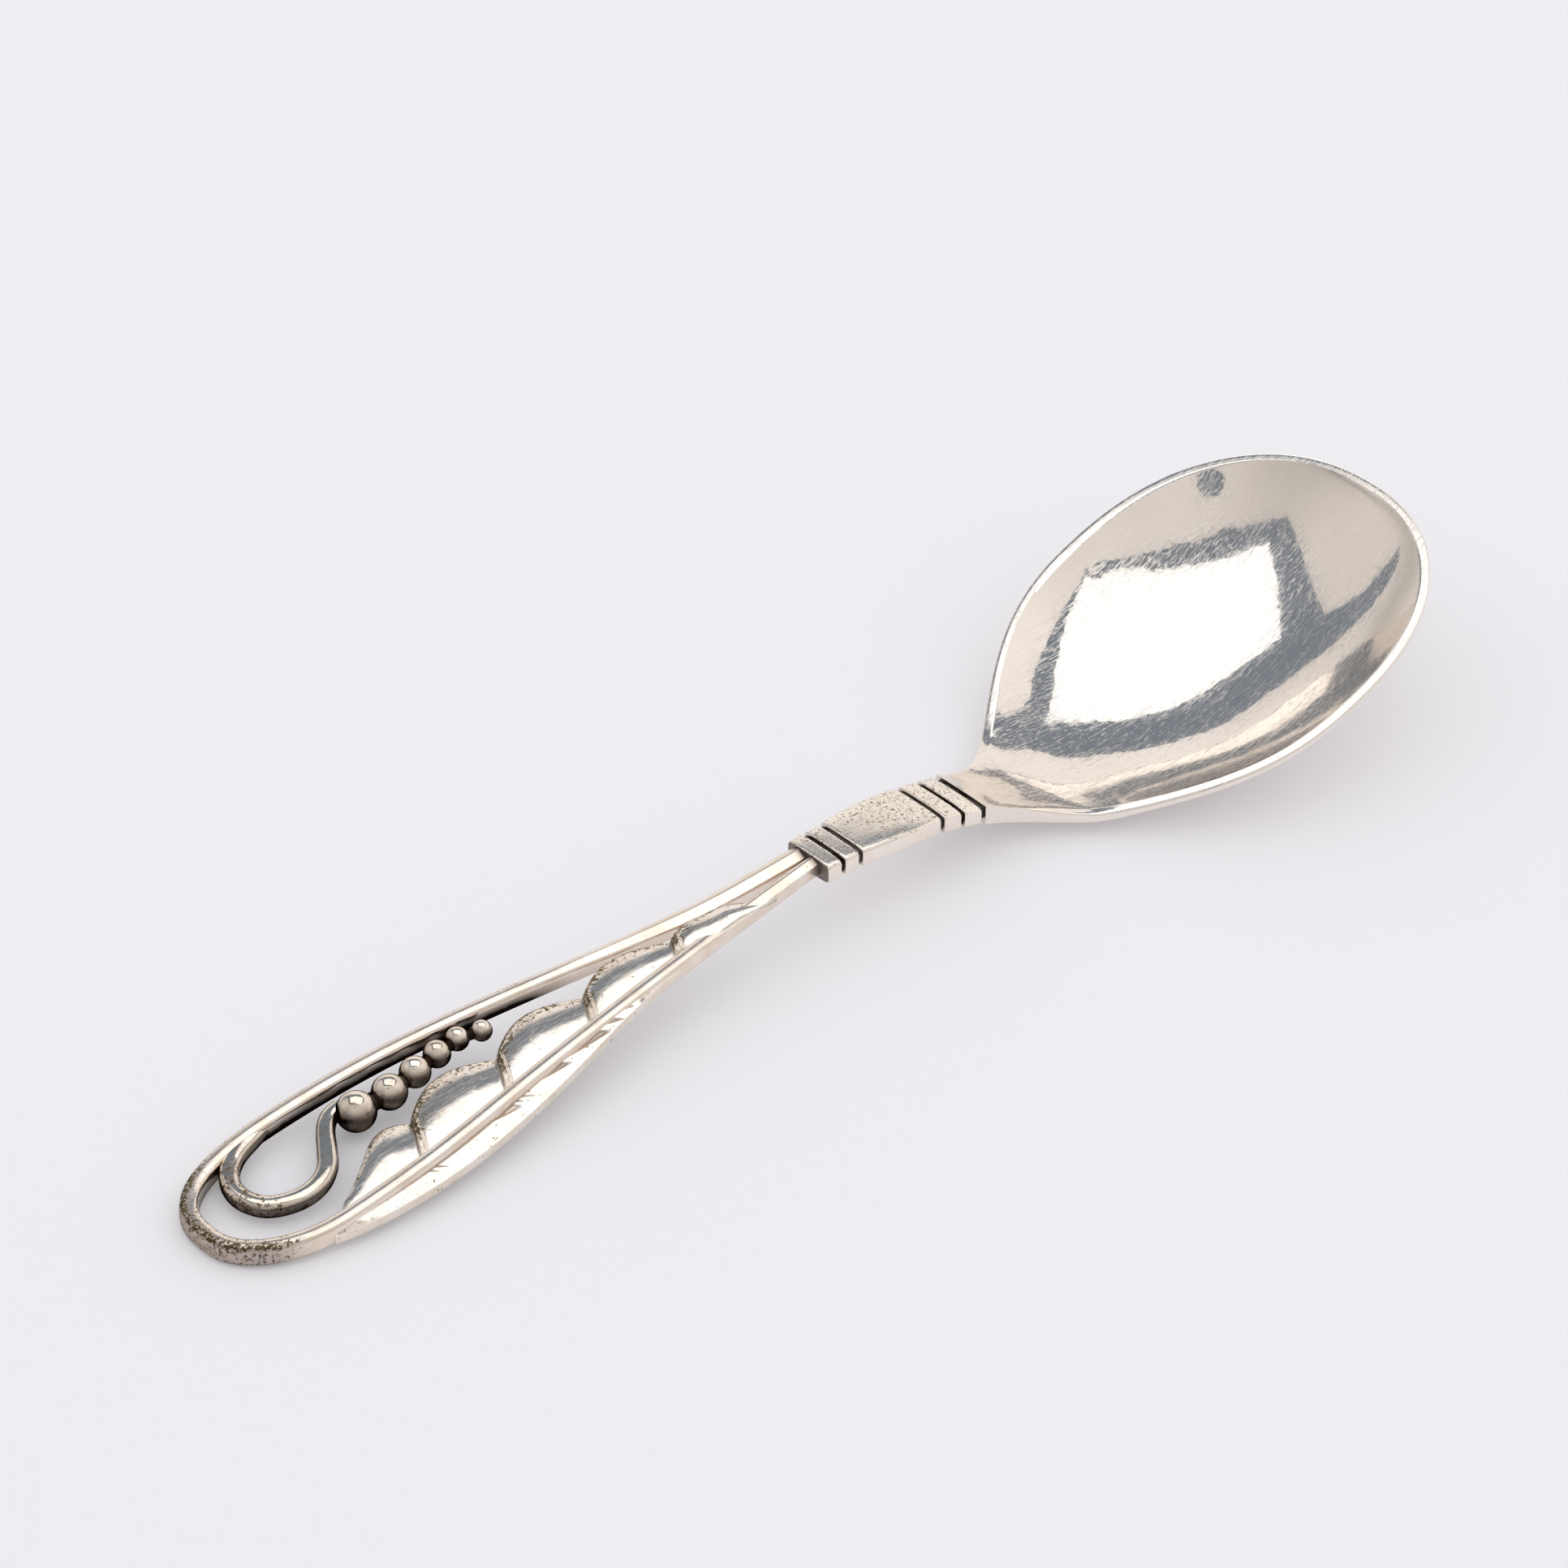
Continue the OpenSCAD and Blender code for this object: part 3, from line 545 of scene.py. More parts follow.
def makeRail():
    arms = np.linspace(collarX + rail["tenon"], rail["endLength"], 300)
    turn = np.radians(np.linspace(-89.5, 89.5, 721))
    power = 2 / rail["endRound"]
    endX = rail["width"] / 2 + (rail["endLength"] - rail["width"] / 2) * (1 - np.cos(turn) ** power)
    endY = np.where(turn < 0, -ribReach(endX), farReach(endX))
    path = np.concatenate([
        np.stack([arms, -ribReach(np.minimum(arms, collarX))], axis=1),
        np.stack([endX, endY], axis=1),
        np.stack([arms, farReach(np.minimum(arms, collarX))], axis=1)[::-1],
    ])
    path = evenSteps(path, rail["step"])
    inward = sideOf(path)
    x = np.minimum(path[:, 0], collarX)
    centres = np.column_stack([path, railHeight(x)])
    near = path[:, 1] < 0
    ridge = np.where(near, ramp(path[:, 0], rail["ridgeRun"]), 0)
    slope = np.where(near, 0, ramp(path[:, 0], rail["slopeRun"]))
    breadth = np.where(near, railWidth(x), farWidth(x))
    piece = makeWire("handle_rail_wire", centres, inward, breadth, railDepth(x), ridge, slope,
                     sectionObject(*railSections()), railMaterial)
    mesh = piece.data
    cleanMesh(mesh, rail["sharp"])
    side, up = readAttribute(mesh, "sectionSide"), readAttribute(mesh, "sectionUp")
    ridge, wearAndLine = readAttribute(mesh, "ridge"), railWearAndPaintedLine
    x, y, _ = readPoints(mesh).T
    # dark inside the far arm and under the wire, at its joint and its worn end, and a painted dark reflection
    # line along the slope's crest
    collarSide = ramp(x, wearAndLine["nearRun"])
    far = ease((y + 1) / 3) * ease((x - 6) / 8) * (1 - collarSide)
    inner = ease((0.3 - up) / 0.35) * ease((side - 0.1) / 0.3) * mix(wearAndLine["flank"], wearAndLine["farFlank"], far)
    under = ease((-up - 0.25) / 0.2) * wearAndLine["under"]
    end = ramp(x, wearAndLine["endRun"])
    darkening = wearAndLine["end"] * end * ease((-side - 0.1) / 0.3)
    joint = ease((x - collarX) / wearAndLine["jointLength"] + 1) * wearAndLine["joint"]
    # painted reflection: a thin dark line along the crest of the far arm's slope, standing in for the dark
    # hood
    line = wearAndLine["line"] * ramp(x, wearAndLine["paintedLineRun"]) * (y > 0) * (up > 0)
    line = line * np.exp(-(side / wearAndLine["paintedLineWidth"]) ** 2)
    dark = np.maximum.reduce([inner * (1 - collarSide), under, darkening, joint, line])
    outside = ease((-side - 0.36) / 0.1)
    satin = np.maximum(outside * mix(wearAndLine["outerSatin"], wearAndLine["ridgeSatin"], ridge),
                       wearAndLine["topSatin"] * (1 - ridge) * (side < -0.1))
    outer = ease((-side + 0.1) / 0.3)
    flecks = end * mix(wearAndLine["innerFlecks"], wearAndLine["endFlecks"], outer) * (1 - outside * 0.6)
    flecks = flecks + wearAndLine["farFlecks"] * far * ease((-side - 0.1) / 0.2)
    flecks = flecks + wearAndLine["ridgeFlecks"] * ridge * (side > 0.2)
    setShadeAndWear(mesh, np.clip(dark, 0, wearAndLine["most"]), satin, np.clip(flecks, 0, 1))
    dress(piece, railMaterial, "wire_silver", "handle_rail")


makeRail()


# Tendril: a round wire that leaves the far arm, curls round and aims at the first bead

tendril = {
    "root": 1.3, "thick": 2.65, "end": 2.2, "lapShare": 0.13, "thinShare": 0.8, "step": 0.25, "sharp": 50,
    "around": 28, "sideRound": 0.9, "topRound": 0.62, "lowTarnishAndShade": 0.95, "lowRun": (0.5, -0.42),
    "lapX": 13, "lapGap": 1.1, "flecks": 0.03, "lapFlecks": 0.4,
    "route": [(20.5, 10.9), (17.0, 10.55), (14.0, 9.75), (11.6, 8.5), (9.7, 6.7), (8.6, 4.4), (8.5, 1.9),
              (9.6, -0.6), (11.6, -2.0), (14.2, -2.65), (16.9, -2.2), (19.3, -0.6), (21.2, 1.9),
              (22.6, 4.0), (23.9, 5.6), (25.3, 6.6), (27.0, 7.0)],
}


def smoothRoute(points, steps=24):
    points = np.array(points, float)
    ends = np.vstack([2 * points[0] - points[1], points, 2 * points[-1] - points[-2]])
    t = np.linspace(0, 1, steps, endpoint=False)[:, None]
    spans = []
    for a, b, c, d in zip(ends[:-3], ends[1:-2], ends[2:-1], ends[3:]):
        spans.append(b + 0.5 * t * (c - a + t * (2 * a - 5 * b + 4 * c - d + t * (3 * (b - c) + d - a))))
    return np.vstack(spans + [points[-1:]])


def makeTendril():
    path = evenSteps(smoothRoute(tendril["route"]), tendril["step"])
    inward = -sideOf(path)
    share = np.linspace(0, 1, len(path))
    lap = np.clip(share / tendril["lapShare"], 0, 1)
    thin = np.clip((share - tendril["thinShare"]) / (1 - tendril["thinShare"]), 0, 1)
    thick = mix(mix(tendril["root"], tendril["thick"], ease(lap)), tendril["end"], thin)
    centres = np.column_stack([path, railHeight(path[:, 0])])
    # slightly flattened on top, as if filed
    section = []
    for a in np.radians(np.linspace(0, 360, tendril["around"], endpoint=False)):
        side = math.copysign(abs(math.cos(a)) ** tendril["sideRound"], math.cos(a))
        up = math.sin(a) ** tendril["topRound"] if 0 < a < math.pi else math.sin(a)
        section.append((0.5 * side, 0.5 * up))
    piece = makeWire("tendril_wire", centres, inward, thick, thick, 0, 0,
                     sectionObject(section, section, section), tendrilMaterial)
    mesh = piece.data
    cleanMesh(mesh, tendril["sharp"])
    # tarnish with painted shade on the lower side, and tarnish with painted shade where it lies close to the
    # far arm
    up = readAttribute(mesh, "sectionUp")
    x, y, _ = readPoints(mesh).T
    lapped = tendril["lapX"] - x
    crevice = ease((tendril["lapGap"] - farFlank(x) + y) / 0.9) * ease(lapped / 2) * (up < 0.35)
    # painted shade under the lit top of the wire, together with tarnish
    below = tendril["lowTarnishAndShade"] * ramp(up, tendril["lowRun"])
    setShadeAndWear(mesh, np.maximum(below, crevice), 0,
            tendril["flecks"] + tendril["lapFlecks"] * ease(lapped / 4))
    dress(piece, tendrilMaterial, "tarnished_silver", "tendril")


makeTendril()


# Beads: six balls on short necks, each smaller than the last, swinging up to the far arm

beads = {
    "count": 6, "size": 5.35, "ratio": 0.88, "gap": 0.09, "neckShare": 0.5, "firstX": 28.2,
    "hang": 2.58, "firstRise": 0.5, "lastDrop": 0.35, "touch": 4.2, "swing": 1.5,
    "detail": 5, "neckSteps": 160, "neckSides": 24, "neckBack": 2.0, "neckAside": 0.9, "neckBall": 0.8,
    "crowdTarnishAndShade": 1.3, "crowdRun": (1.1, -0.7), "armGap": 0.8, "lowTarnishAndShade": 0.98, "lowRun": (0.86, -0.75),
    "flecks": 0.02, "sharp": 60,
}


def beadPlaces():
    x, places = beads["firstX"], []
    for i in range(beads["count"]):
        radius = beads["size"] / 2 * beads["ratio"] ** i
        if i:
            x += radius + places[-1][3] + beads["gap"]
        drop = beads["hang"] * abs(math.cos(math.pi / 2 * i / beads["touch"])) ** beads["swing"]
        drop += beads["lastDrop"] * (i == beads["count"] - 1) - beads["firstRise"] * (i == 0)
        y = float(farFlank(np.array(x))) - seam - radius - drop
        places.append((x, y, float(railHeight(x)), radius))
    return np.array(places)


def makeBeadTree():
    tree = bpy.data.node_groups.new("beadsOnNecks", "GeometryNodeTree")
    add = partial(addNode, tree)
    given = addSockets(tree, "Beads", Row="Geometry", Detail="Int", Steps="Int", Finish="Material")
    radius, neck = (add("GeometryNodeInputNamedAttribute", {"Name": name}, data_type="FLOAT")
                    for name in ("ballRadius", "neckRadius"))
    ball = add("GeometryNodeMeshIcoSphere", {"Radius": 1.0, "Subdivisions": given["Detail"]})
    placed = add("GeometryNodeInstanceOnPoints", {
        "Points": given["Row"], "Instance": ball, "Scale": radius})
    line = add("GeometryNodeMeshToCurve", {"Mesh": given["Row"]})
    wire = add("GeometryNodeResampleCurve", {"Curve": line, "Count": given["Steps"]})
    ring = add("GeometryNodeCurvePrimitiveCircle", {"Resolution": beads["neckSides"], "Radius": 1.0})
    necks = add("GeometryNodeCurveToMesh", {
        "Curve": wire, "Profile Curve": ring, "Scale": neck, "Fill Caps": True})
    real = add("GeometryNodeRealizeInstances", {"Geometry": placed})
    both = add("GeometryNodeJoinGeometry", {"Geometry": real})
    tree.links.new(necks.outputs["Mesh"], both.inputs["Geometry"])
    finished = add("GeometryNodeSetMaterial", {"Geometry": both, "Material": given["Finish"]})
    add("NodeGroupOutput", {"Beads": finished})
    return tree


def makeBeads():
    places = beadPlaces()
    x, y, z, _ = places[0]
    # the row starts at the tendril's end
    row = np.vstack([[x - beads["neckBack"], y + beads["neckAside"], z, beads["neckBall"]], places])
    mesh = bpy.data.meshes.new("bead_row")
    mesh.from_pydata(toMetres(row[:, :3]).tolist(), [(i, i + 1) for i in range(len(row) - 1)], [])
    setAttribute(mesh, "ballRadius", row[:, 3] * mm)
    setAttribute(mesh, "neckRadius", row[:, 3] * beads["neckShare"] * mm)
    piece = linkObject("bead_row", mesh)
    made = runTree(piece, makeBeadTree(), {
        "Detail": beads["detail"], "Steps": beads["neckSteps"], "Finish": tendrilMaterial})
    cleanMesh(made, beads["sharp"])
    # tarnish with painted shade below the lit top of each ball, and tarnish with painted contact shade where
    # beads crowd each other or the far arm
    points = readPoints(made)
    gaps = np.linalg.norm(points[:, None, :] - row[None, :, :3], axis=2) - row[None, :, 3]
    own = row[np.argmin(gaps, axis=1)]
    gaps.sort(axis=1)
    armGap = farFlank(points[:, 0]) - points[:, 1]
    # tarnish and painted contact shade where balls come close to each other or to the far arm
    crowded = beads["crowdTarnishAndShade"] * ramp(gaps[:, 1], beads["crowdRun"])
    beside = beads["crowdTarnishAndShade"] * ease(1 - armGap / beads["armGap"])
    up = (points[:, 2] - own[:, 2]) / own[:, 3]
    # painted shade from just under the softbox highlight down to the bottom, together with tarnish
    below = beads["lowTarnishAndShade"] * ramp(up, beads["lowRun"])
    setShadeAndWear(made, np.maximum.reduce([crowded, beside, below]), 0, beads["flecks"])
    names = ["bead_%d" % (i + 1) for i in range(beads["count"])]
    dress(piece, tendrilMaterial, "tarnished_silver", *names)


makeBeads()


# Lobed leaf: five pillows between the midrib and the opening, the last one lapping over the midrib

leaf = {
    "start": 16.2, "lobe": 14.75, "lastLobe": 15.8, "count": 5, "notch": 4.4, "startWidth": 0.4,
    "widening": 0.9, "narrowing": 2.2, "arch": 3.5, "archRound": 0.9, "firstLean": 1.6, "slant": 0.65,
    "seat": 0.85, "dome": 0.9, "domeRound": 0.6, "domeFlat": 0.2, "leastDome": 0.55, "lapDome": 0.8,
    "spread": 0.3, "thick": 0.8, "edge": 0.18, "foot": 1.0, "tipShare": 0.45,
    "rise": 0.3, "riseLength": 2.2, "foldHeight": 0.42, "foldStart": 0.3, "foldGap": 0.8, "foldWidth": 0.3,
    "lapRun": (75.8, 6.5), "lapReach": 1.05, "lapSeat": 0.05, "lapRise": 0.35,
    "creaseShade": 0.6, "creaseWidth": 0.2, "footDark": 0.9, "footLine": 0.14, "underDark": 0.45,
    "flecks": 0.04, "lowFlecks": 0.75, "lowLength": 2.6, "edgeFlecks": 0.4, "underFlecks": 0.05,
    "perLobe": 120, "rows": 60, "edgeRows": 6, "sharp": 45,
}


def notchWidth(place):
    opening = mix(leaf["startWidth"], leaf["notch"], np.clip(place, 0, 1) ** leaf["widening"])
    closing = 1 - np.clip((place - 1) / (leaf["count"] - 1), 0, 1) ** leaf["narrowing"]
    return np.where(place < 1, opening, leaf["notch"] * closing)


def lobeArch(place):
    share = np.clip(place, 0, leaf["count"] - 1e-6) % 1
    share = np.where(place < 1, share ** leaf["firstLean"], share)
    return np.sin(np.pi * share) ** leaf["archRound"]


def makeLeaf():
    count, lobes = leaf["perLobe"] * leaf["count"] + 1, leaf["count"]
    steps = np.linspace(0, lobes, count)[:, None]  # a column along the leaf, and v runs across it
    steps = np.floor(steps) + (1 - np.cos(np.pi * (steps % 1))) / 2  # closer together at the notches
    place = np.clip(steps, 0, lobes - 0.002)
    u = leaf["start"] + leaf["lobe"] * np.minimum(place, lobes - 1)
    u = u + leaf["lastLobe"] * np.maximum(place - lobes + 1, 0)
    arch, notch = lobeArch(place), notchWidth(place)
    width = notch + leaf["arch"] * arch * np.sqrt(notch / leaf["notch"])
    footX = u - leaf["slant"] * notch
    lap = ramp(footX, leaf["lapRun"])
    foot = -ribReach(footX) + mix(leaf["foot"], -leaf["lapReach"], lap)
    edge = np.minimum(flank(ribLine, u) - ribLine(u) + width + leaf["spread"], farFlank(u) - seam)
    tip = ease((place - lobes) / leaf["tipShare"] + 1)
    edge = np.maximum(mix(edge, foot, tip * lap), foot)

    v = np.linspace(0, 1, leaf["rows"])
    across = (edge - foot) * v
    size = np.clip((edge - foot) / (leaf["notch"] + leaf["arch"]), 0, 1)
    x, y = footX + (u - footX) * v, foot + across
    swell = mix(leaf["leastDome"], 1, arch) * (1 + leaf["lapDome"] * lap)
    seat = leaf["seat"] + leaf["lapSeat"] * lap + 4 * leaf["lapRise"] * lap * (1 - lap)
    middle = 2 * v - 1
    dome = leaf["domeRound"] * (1 - middle ** 2) + leaf["domeFlat"] * (1 - middle ** 4)
    z = railHeight(x) + mix(seat, leaf["seat"], v) + leaf["dome"] * size * swell * dome

    # a lobe starts high at the fold, which has two fine ridges from the notch down to the midrib
    nowhere = 99
    inside = (place > 0.5) & (place < lobes - 0.5)
    signed = np.where(inside, (place - np.round(place)) * leaf["lobe"], nowhere)
    after = np.where((signed > 0) & (place > 0.9), signed, nowhere)
    after = np.where((place > 0.9) & (place % 1 >= 0.5), (place % 1) * leaf["lobe"], after)
    start = leaf["rise"] * np.exp(-after / leaf["riseLength"]) * ease(after / 0.3)
    folds = (leaf["foldStart"], leaf["foldStart"] + leaf["foldGap"])
    ridges = sum(np.exp(-((signed - at) / leaf["foldWidth"]) ** 2) for at in folds)
    raised = start + leaf["foldHeight"] * ridges
    z = z + raised * ease(v / 0.2) * ease((1 - v) / 0.08) * np.clip(size * 2.5, 0, 1)

    # rounded edge, then the underside back to the foot
    roll = np.pi * np.linspace(0, 1, leaf["edgeRows"] + 1)[1:]
    edgeY = y[:, -1:] + leaf["edge"] * np.sin(roll) * np.clip(size * 4, 0, 1)
    edgeZ = z[:, -1:] - leaf["thick"] * (1 - np.cos(roll)) / 2
    under = gridPoints(x, y, z - leaf["thick"])[:, ::-1][:, 1::3]
    rings = np.concatenate([gridPoints(x, y, z), gridPoints(x[:, -1:], edgeY, edgeZ), under], axis=1)

    # painted shade in the folds' creases, dark along the foot, flecked after each fold and near the edge
    crease = np.exp(-((signed + 0.1) / leaf["creaseWidth"]) ** 2) * ease((1 - v) / 0.2)
    heel = np.exp(-(across / leaf["footLine"]) ** 2) * (1 - lap)
    top = np.maximum(leaf["creaseShade"] * crease, leaf["footDark"] * heel)
    low = leaf["lowFlecks"] * np.exp(-after / leaf["lowLength"]) * ease((v - 0.2) / 0.3)
    flecked = np.clip(leaf["flecks"] + low + leaf["edgeFlecks"] * ease((v - 0.55) / 0.45), 0, 1)
    rest = leaf["edgeRows"] + under.shape[1]
    tarnishAndShade = np.hstack([top, np.tile(np.linspace(0, leaf["underDark"], rest), (count, 1))])
    speckle = np.hstack([flecked, np.full((count, rest), leaf["underFlecks"])])
    piece = solidFromRings("lobed_leaf_chased", rings, tarnishAndShade, 0, speckle, leaf["sharp"])
    dress(piece, leafMaterial, "chased_silver", "lobed_leaf")


makeLeaf()


# Veined blade: a crescent that falls away outside the midrib, in line with the far arm's mirror image

blade = {
    "start": 12.5, "length": 63, "fallLength": 48, "lean": 0.9, "round": 0.8, "seat": 1.1, "seatFall": 0.75,
    "lip": 0.62, "lipFall": 1.1, "foot": 1.15, "farFoot": 0.75, "footRun": (38, 24), "lap": 0.1,
    "crown": 0.07, "thick": 1.3, "edge": 0.07, "undercut": 0.08, "outset": 0.03,
    "sinkStart": 5, "sinkEnd": 4, "sinkIn": 0.35, "sinkDown": 0.4, "cutRound": 0.6,
    "grooveShade": 0.75, "grooveWidth": 0.16, "underDark": 0.4, "underSatin": 0.7, "flecks": 0.1,
    "steps": 900, "rows": 48, "edgeRows": 4, "sideRows": 7, "sharp": 40,
}
# cuts beside the rib: first and last X, slant, reach outwards, depth, dark
veins = [
    (27.5, 28.0, 1.1, 1.6, 0.08, 0.5), (28.5, 29.0, 1.3, 1.9, 0.1, 0.6), (38.6, 42.4, 0.9, 1.3, 0.2, 0.4),
    (42.8, 43.3, 1.0, 1.4, 0.1, 0.6), (43.8, 44.3, 1.25, 1.9, 0.12, 0.6), (47.2, 51.2, 1.3, 1.3, 0.22, 0.6),
    (51.6, 58.0, 1.2, 1.5, 0.28, 0.6), (58.9, 60.6, 1.3, 1.5, 0.2, 0.6), (62.5, 63.7, 1.0, 0.9, 0.15, 0.6),
    (65.7, 67.0, 1.0, 0.7, 0.12, 0.5),
]


def makeBlade():
    along = np.linspace(0, 1, blade["steps"])[:, None]  # a column along the blade
    v = np.linspace(0, 1, blade["rows"])  # 0 at the rib, 1 at the outer edge
    x = blade["start"] + blade["length"] * along
    share = np.clip((x - blade["start"]) / blade["fallLength"], 0, 1)
    form = np.sin(np.pi * share ** blade["lean"]) ** blade["round"]
    foot = mix(blade["foot"], blade["farFoot"], ramp(x, blade["footRun"]))
    inner = ribReach(x) + foot - blade["lap"]
    outer = np.maximum(armReach(x) + flank(armReach, x), ribReach(x) + flank(ribReach, x) + blade["outset"])
    risen = ease((x - blade["start"]) / blade["sinkStart"])
    sunk = 1 - risen * ease((blade["start"] + blade["length"] - x) / blade["sinkEnd"])
    out = (outer - blade["sinkIn"] * sunk - inner) * v
    y = -inner - out
    z = mix(blade["seat"] - blade["seatFall"] * form, blade["lip"] - blade["lipFall"] * form, v)
    z = railHeight(x) + z - blade["sinkDown"] * sunk + 4 * blade["crown"] * form * v * (1 - v)
    dark = np.zeros_like(z)
    for first, last, slant, reach, depth, tone in veins:
        passed = (x - slant * (out - blade["lap"]) - first) / (last - first)
        local = reach * np.clip(passed, 0, 1) ** blade["cutRound"]
        cut = ease((1 - passed) / min(0.5, 0.25 / (last - first))) * ease(passed / 0.2)
        cut = cut * ease((local - out) / (0.5 * reach)) * ease((1 - v) / 0.1)
        z = z - depth * cut
        dark = np.maximum(dark, tone * cut)

    # a crisp lip, the upright side and the underside back to the rib
    roll = np.radians(np.linspace(0, 90, blade["edgeRows"] + 1))[1:]
    lipY = y[:, -1:] - blade["edge"] * np.sin(roll)
    lipZ = z[:, -1:] - blade["edge"] * (1 - np.cos(roll))
    drop = np.linspace(0, 1, blade["sideRows"] + 1)[1:]
    sideY = lipY[:, -1:] + blade["undercut"] * drop ** 2
    sideZ = lipZ[:, -1:] - (blade["thick"] - blade["edge"]) * drop
    side = gridPoints(x, np.hstack([lipY, sideY]), np.hstack([lipZ, sideZ]))
    under = gridPoints(x, y, mix(z[:, :1], z[:, -1:], v) - blade["thick"])[:, ::-1][:, 1::3]
    rings = np.concatenate([gridPoints(x, y, z), side, under], axis=1)

    # painted shade in the groove between the midrib and the blade
    groove = blade["grooveShade"] * np.exp(-((out - blade["lap"]) / blade["grooveWidth"]) ** 2) * form
    tarnishAndShade, satin = np.zeros(rings.shape[:2]), np.zeros(rings.shape[:2])
    tarnishAndShade[:, :len(v)] = np.clip(np.maximum(dark, groove), 0, 1)
    tarnishAndShade[:, -under.shape[1]:] = blade["underDark"]
    satin[:, len(v):] = blade["underSatin"]
    piece = solidFromRings("veined_blade_chased", rings, tarnishAndShade, satin, blade["flecks"], blade["sharp"])
    dress(piece, leafMaterial, "chased_silver", "veined_blade")


makeBlade()


# Collar: a bent bar with two thin bands, a long barrel block and two broad bands between grooves

collar = {
    "width": 8.1, "bowlWidth": 9.9, "height": 3.1, "drop": 3.0, "bend": 2.9, "thin": 2.3, "block": 13.5,
    "broad": 2.95, "groove": 0.65, "grooveDepth": 0.5, "swell": 0.35, "corner": 0.42, "crown": 0.3,
    "edge": 0.24, "bandSatin": 0.3, "blockSatin": 0.45, "grooveSatin": 0.5, "jointDark": 0.8,
    "edgeDark": 0.25, "flecks": 0.01, "topFlecks": 0.25, "sharp": 34,
}
bandLengths = [collar["thin"], collar["thin"], collar["block"], collar["broad"], collar["broad"]]
collarLength = sum(bandLengths) + 4 * collar["groove"]
heelX = collarX + collarLength + collar["groove"]


def collarHeight(x):
    share = np.clip((x - collarX) / collarLength, 0, 1)
    return railHeight(collarX) - collar["drop"] * share ** collar["bend"]


def collarHalf(x):
    share = np.clip((x - collarX) / collarLength, 0, 1)
    blockX = collarX + 2 * (collar["thin"] + collar["groove"])
    swell = collar["swell"] * np.sin(np.pi * np.clip((x - blockX) / collar["block"], 0, 1))
    return mix(collar["width"], collar["bowlWidth"], share) / 2 + swell


def collarRing(x, inset):
    corner = collar["corner"]
    halfW, halfH = float(collarHalf(x)) - inset, collar["height"] / 2 - inset
    sides = np.linspace(-1, 1, 25)[1:-1]
    points = []
    for q, (sy, sz) in enumerate(((1, 1), (-1, 1), (-1, -1), (1, -1))):
        middle = (sy * (halfW - corner), sz * (halfH - corner))
        points += arcPoints(middle, (corner, corner), 90 * q, 90 * q + 90, 7)
        if q == 0:
            points += [(-s * (halfW - corner), halfH) for s in sides]
        elif q == 2:
            points += [(s * (halfW - corner), -halfH) for s in sides]
    y, z = np.array(points).T
    z = z - np.sign(z) * collar["crown"] * (np.abs(y) / halfW) ** 4
    return gridPoints(x, y, z + float(collarHeight(x)))


def makeCollar():
    rings, tarnishAndShade, satin = [], [], []

    def addRing(x, inset, dark, dull):
        rings.append(collarRing(x, inset))
        tarnishAndShade.append(dark)
        satin.append(dull)

    x, edge = collarX, collar["edge"]
    for band, length in enumerate(bandLengths):
        isBlock = band == 2
        dull = collar["blockSatin"] if isBlock else collar["bandSatin"]
        start = collar["edgeDark"] if band else collar["jointDark"]  # dark where the wires go in
        for turn in np.linspace(0, 90, 5):
            a = math.radians(turn)
            addRing(x + edge * (1 - math.cos(a)), edge * (1 - math.sin(a)), start * (turn < 30), dull)
        for inner in np.linspace(x + edge, x + length - edge, 40 if isBlock else 8)[1:-1]:
            addRing(inner, 0, 0, dull)
        x += length
        for turn in np.linspace(90, 0, 5):
            a = math.radians(turn)
            dark = collar["edgeDark"] * (turn < 30)
            addRing(x - edge * (1 - math.cos(a)), edge * (1 - math.sin(a)), dark, dull)
        for share in (0.02, 0.2, 0.5, 0.8, 0.98):
            depth = collar["grooveDepth"] * (1 - 0.12 * abs(2 * share - 1) ** 3)
            addRing(x + share * collar["groove"], depth, 1, collar["grooveSatin"])
        x += collar["groove"]
    rings = np.array(rings)
    upper = ease((rings[..., 2] - collarHeight(rings[..., 0])) / collar["height"] * 4 - 1)
    piece = solidFromRings("neck_collar_banded", rings, np.array(tarnishAndShade)[:, None], np.array(satin)[:, None],
                           collar["flecks"] + collar["topFlecks"] * upper, collar["sharp"])
    dress(piece, collarMaterial, "satin_silver", "neck_collar")


makeCollar()


# Bowl: one raised piece with a heel, a flat rim and a tip that stands up

bowl = {
    "width": 54.1, "heel": 47.2, "tip": 29.6, "depth": 10.3, "dip": 14.4, "rise": 21.4, "bow": 0.6,
    "rim": 1.2, "rimFall": 0.08, "rimStart": 0.25, "rimRun": (5, 6), "trough": 0.35,
    "rimEdge": 0.85, "wall": 1.25, "neck": 9.8, "neckHeight": 2.9, "fade": 22, "fadeEase": 1.5,
    "flare": 2.5, "fillet": 2.4, "tipRound": 2.2, "round": 2.1, "depthFall": 1.6, "heelSlope": 1.6,
    "heelFall": 1.45, "tipFall": 1.66, "dipRound": 0.05, "dipSmooth": 6, "restCut": 0.12, "rimRound": 0.22,
    "troughStart": 4, "troughRun": (5, 14), "evenLength": 15, "sideShare": 0.6, "wallReach": 3,
    "tang": 4.2, "tangWidth": 6.2, "tangHeight": 1.5, "tangDark": 0.6, "sideSatin": 0.25,
    "rimSatin": (0.1, 0.3), "heelSteps": 150, "heelCrowd": 1.15, "tipSteps": 110, "across": 97,
    "rimRows": 8, "sharp": 40,
}
wideX = heelX + bowl["heel"]
tipX = wideX + bowl["tip"]
dipX = heelX + bowl["dip"]


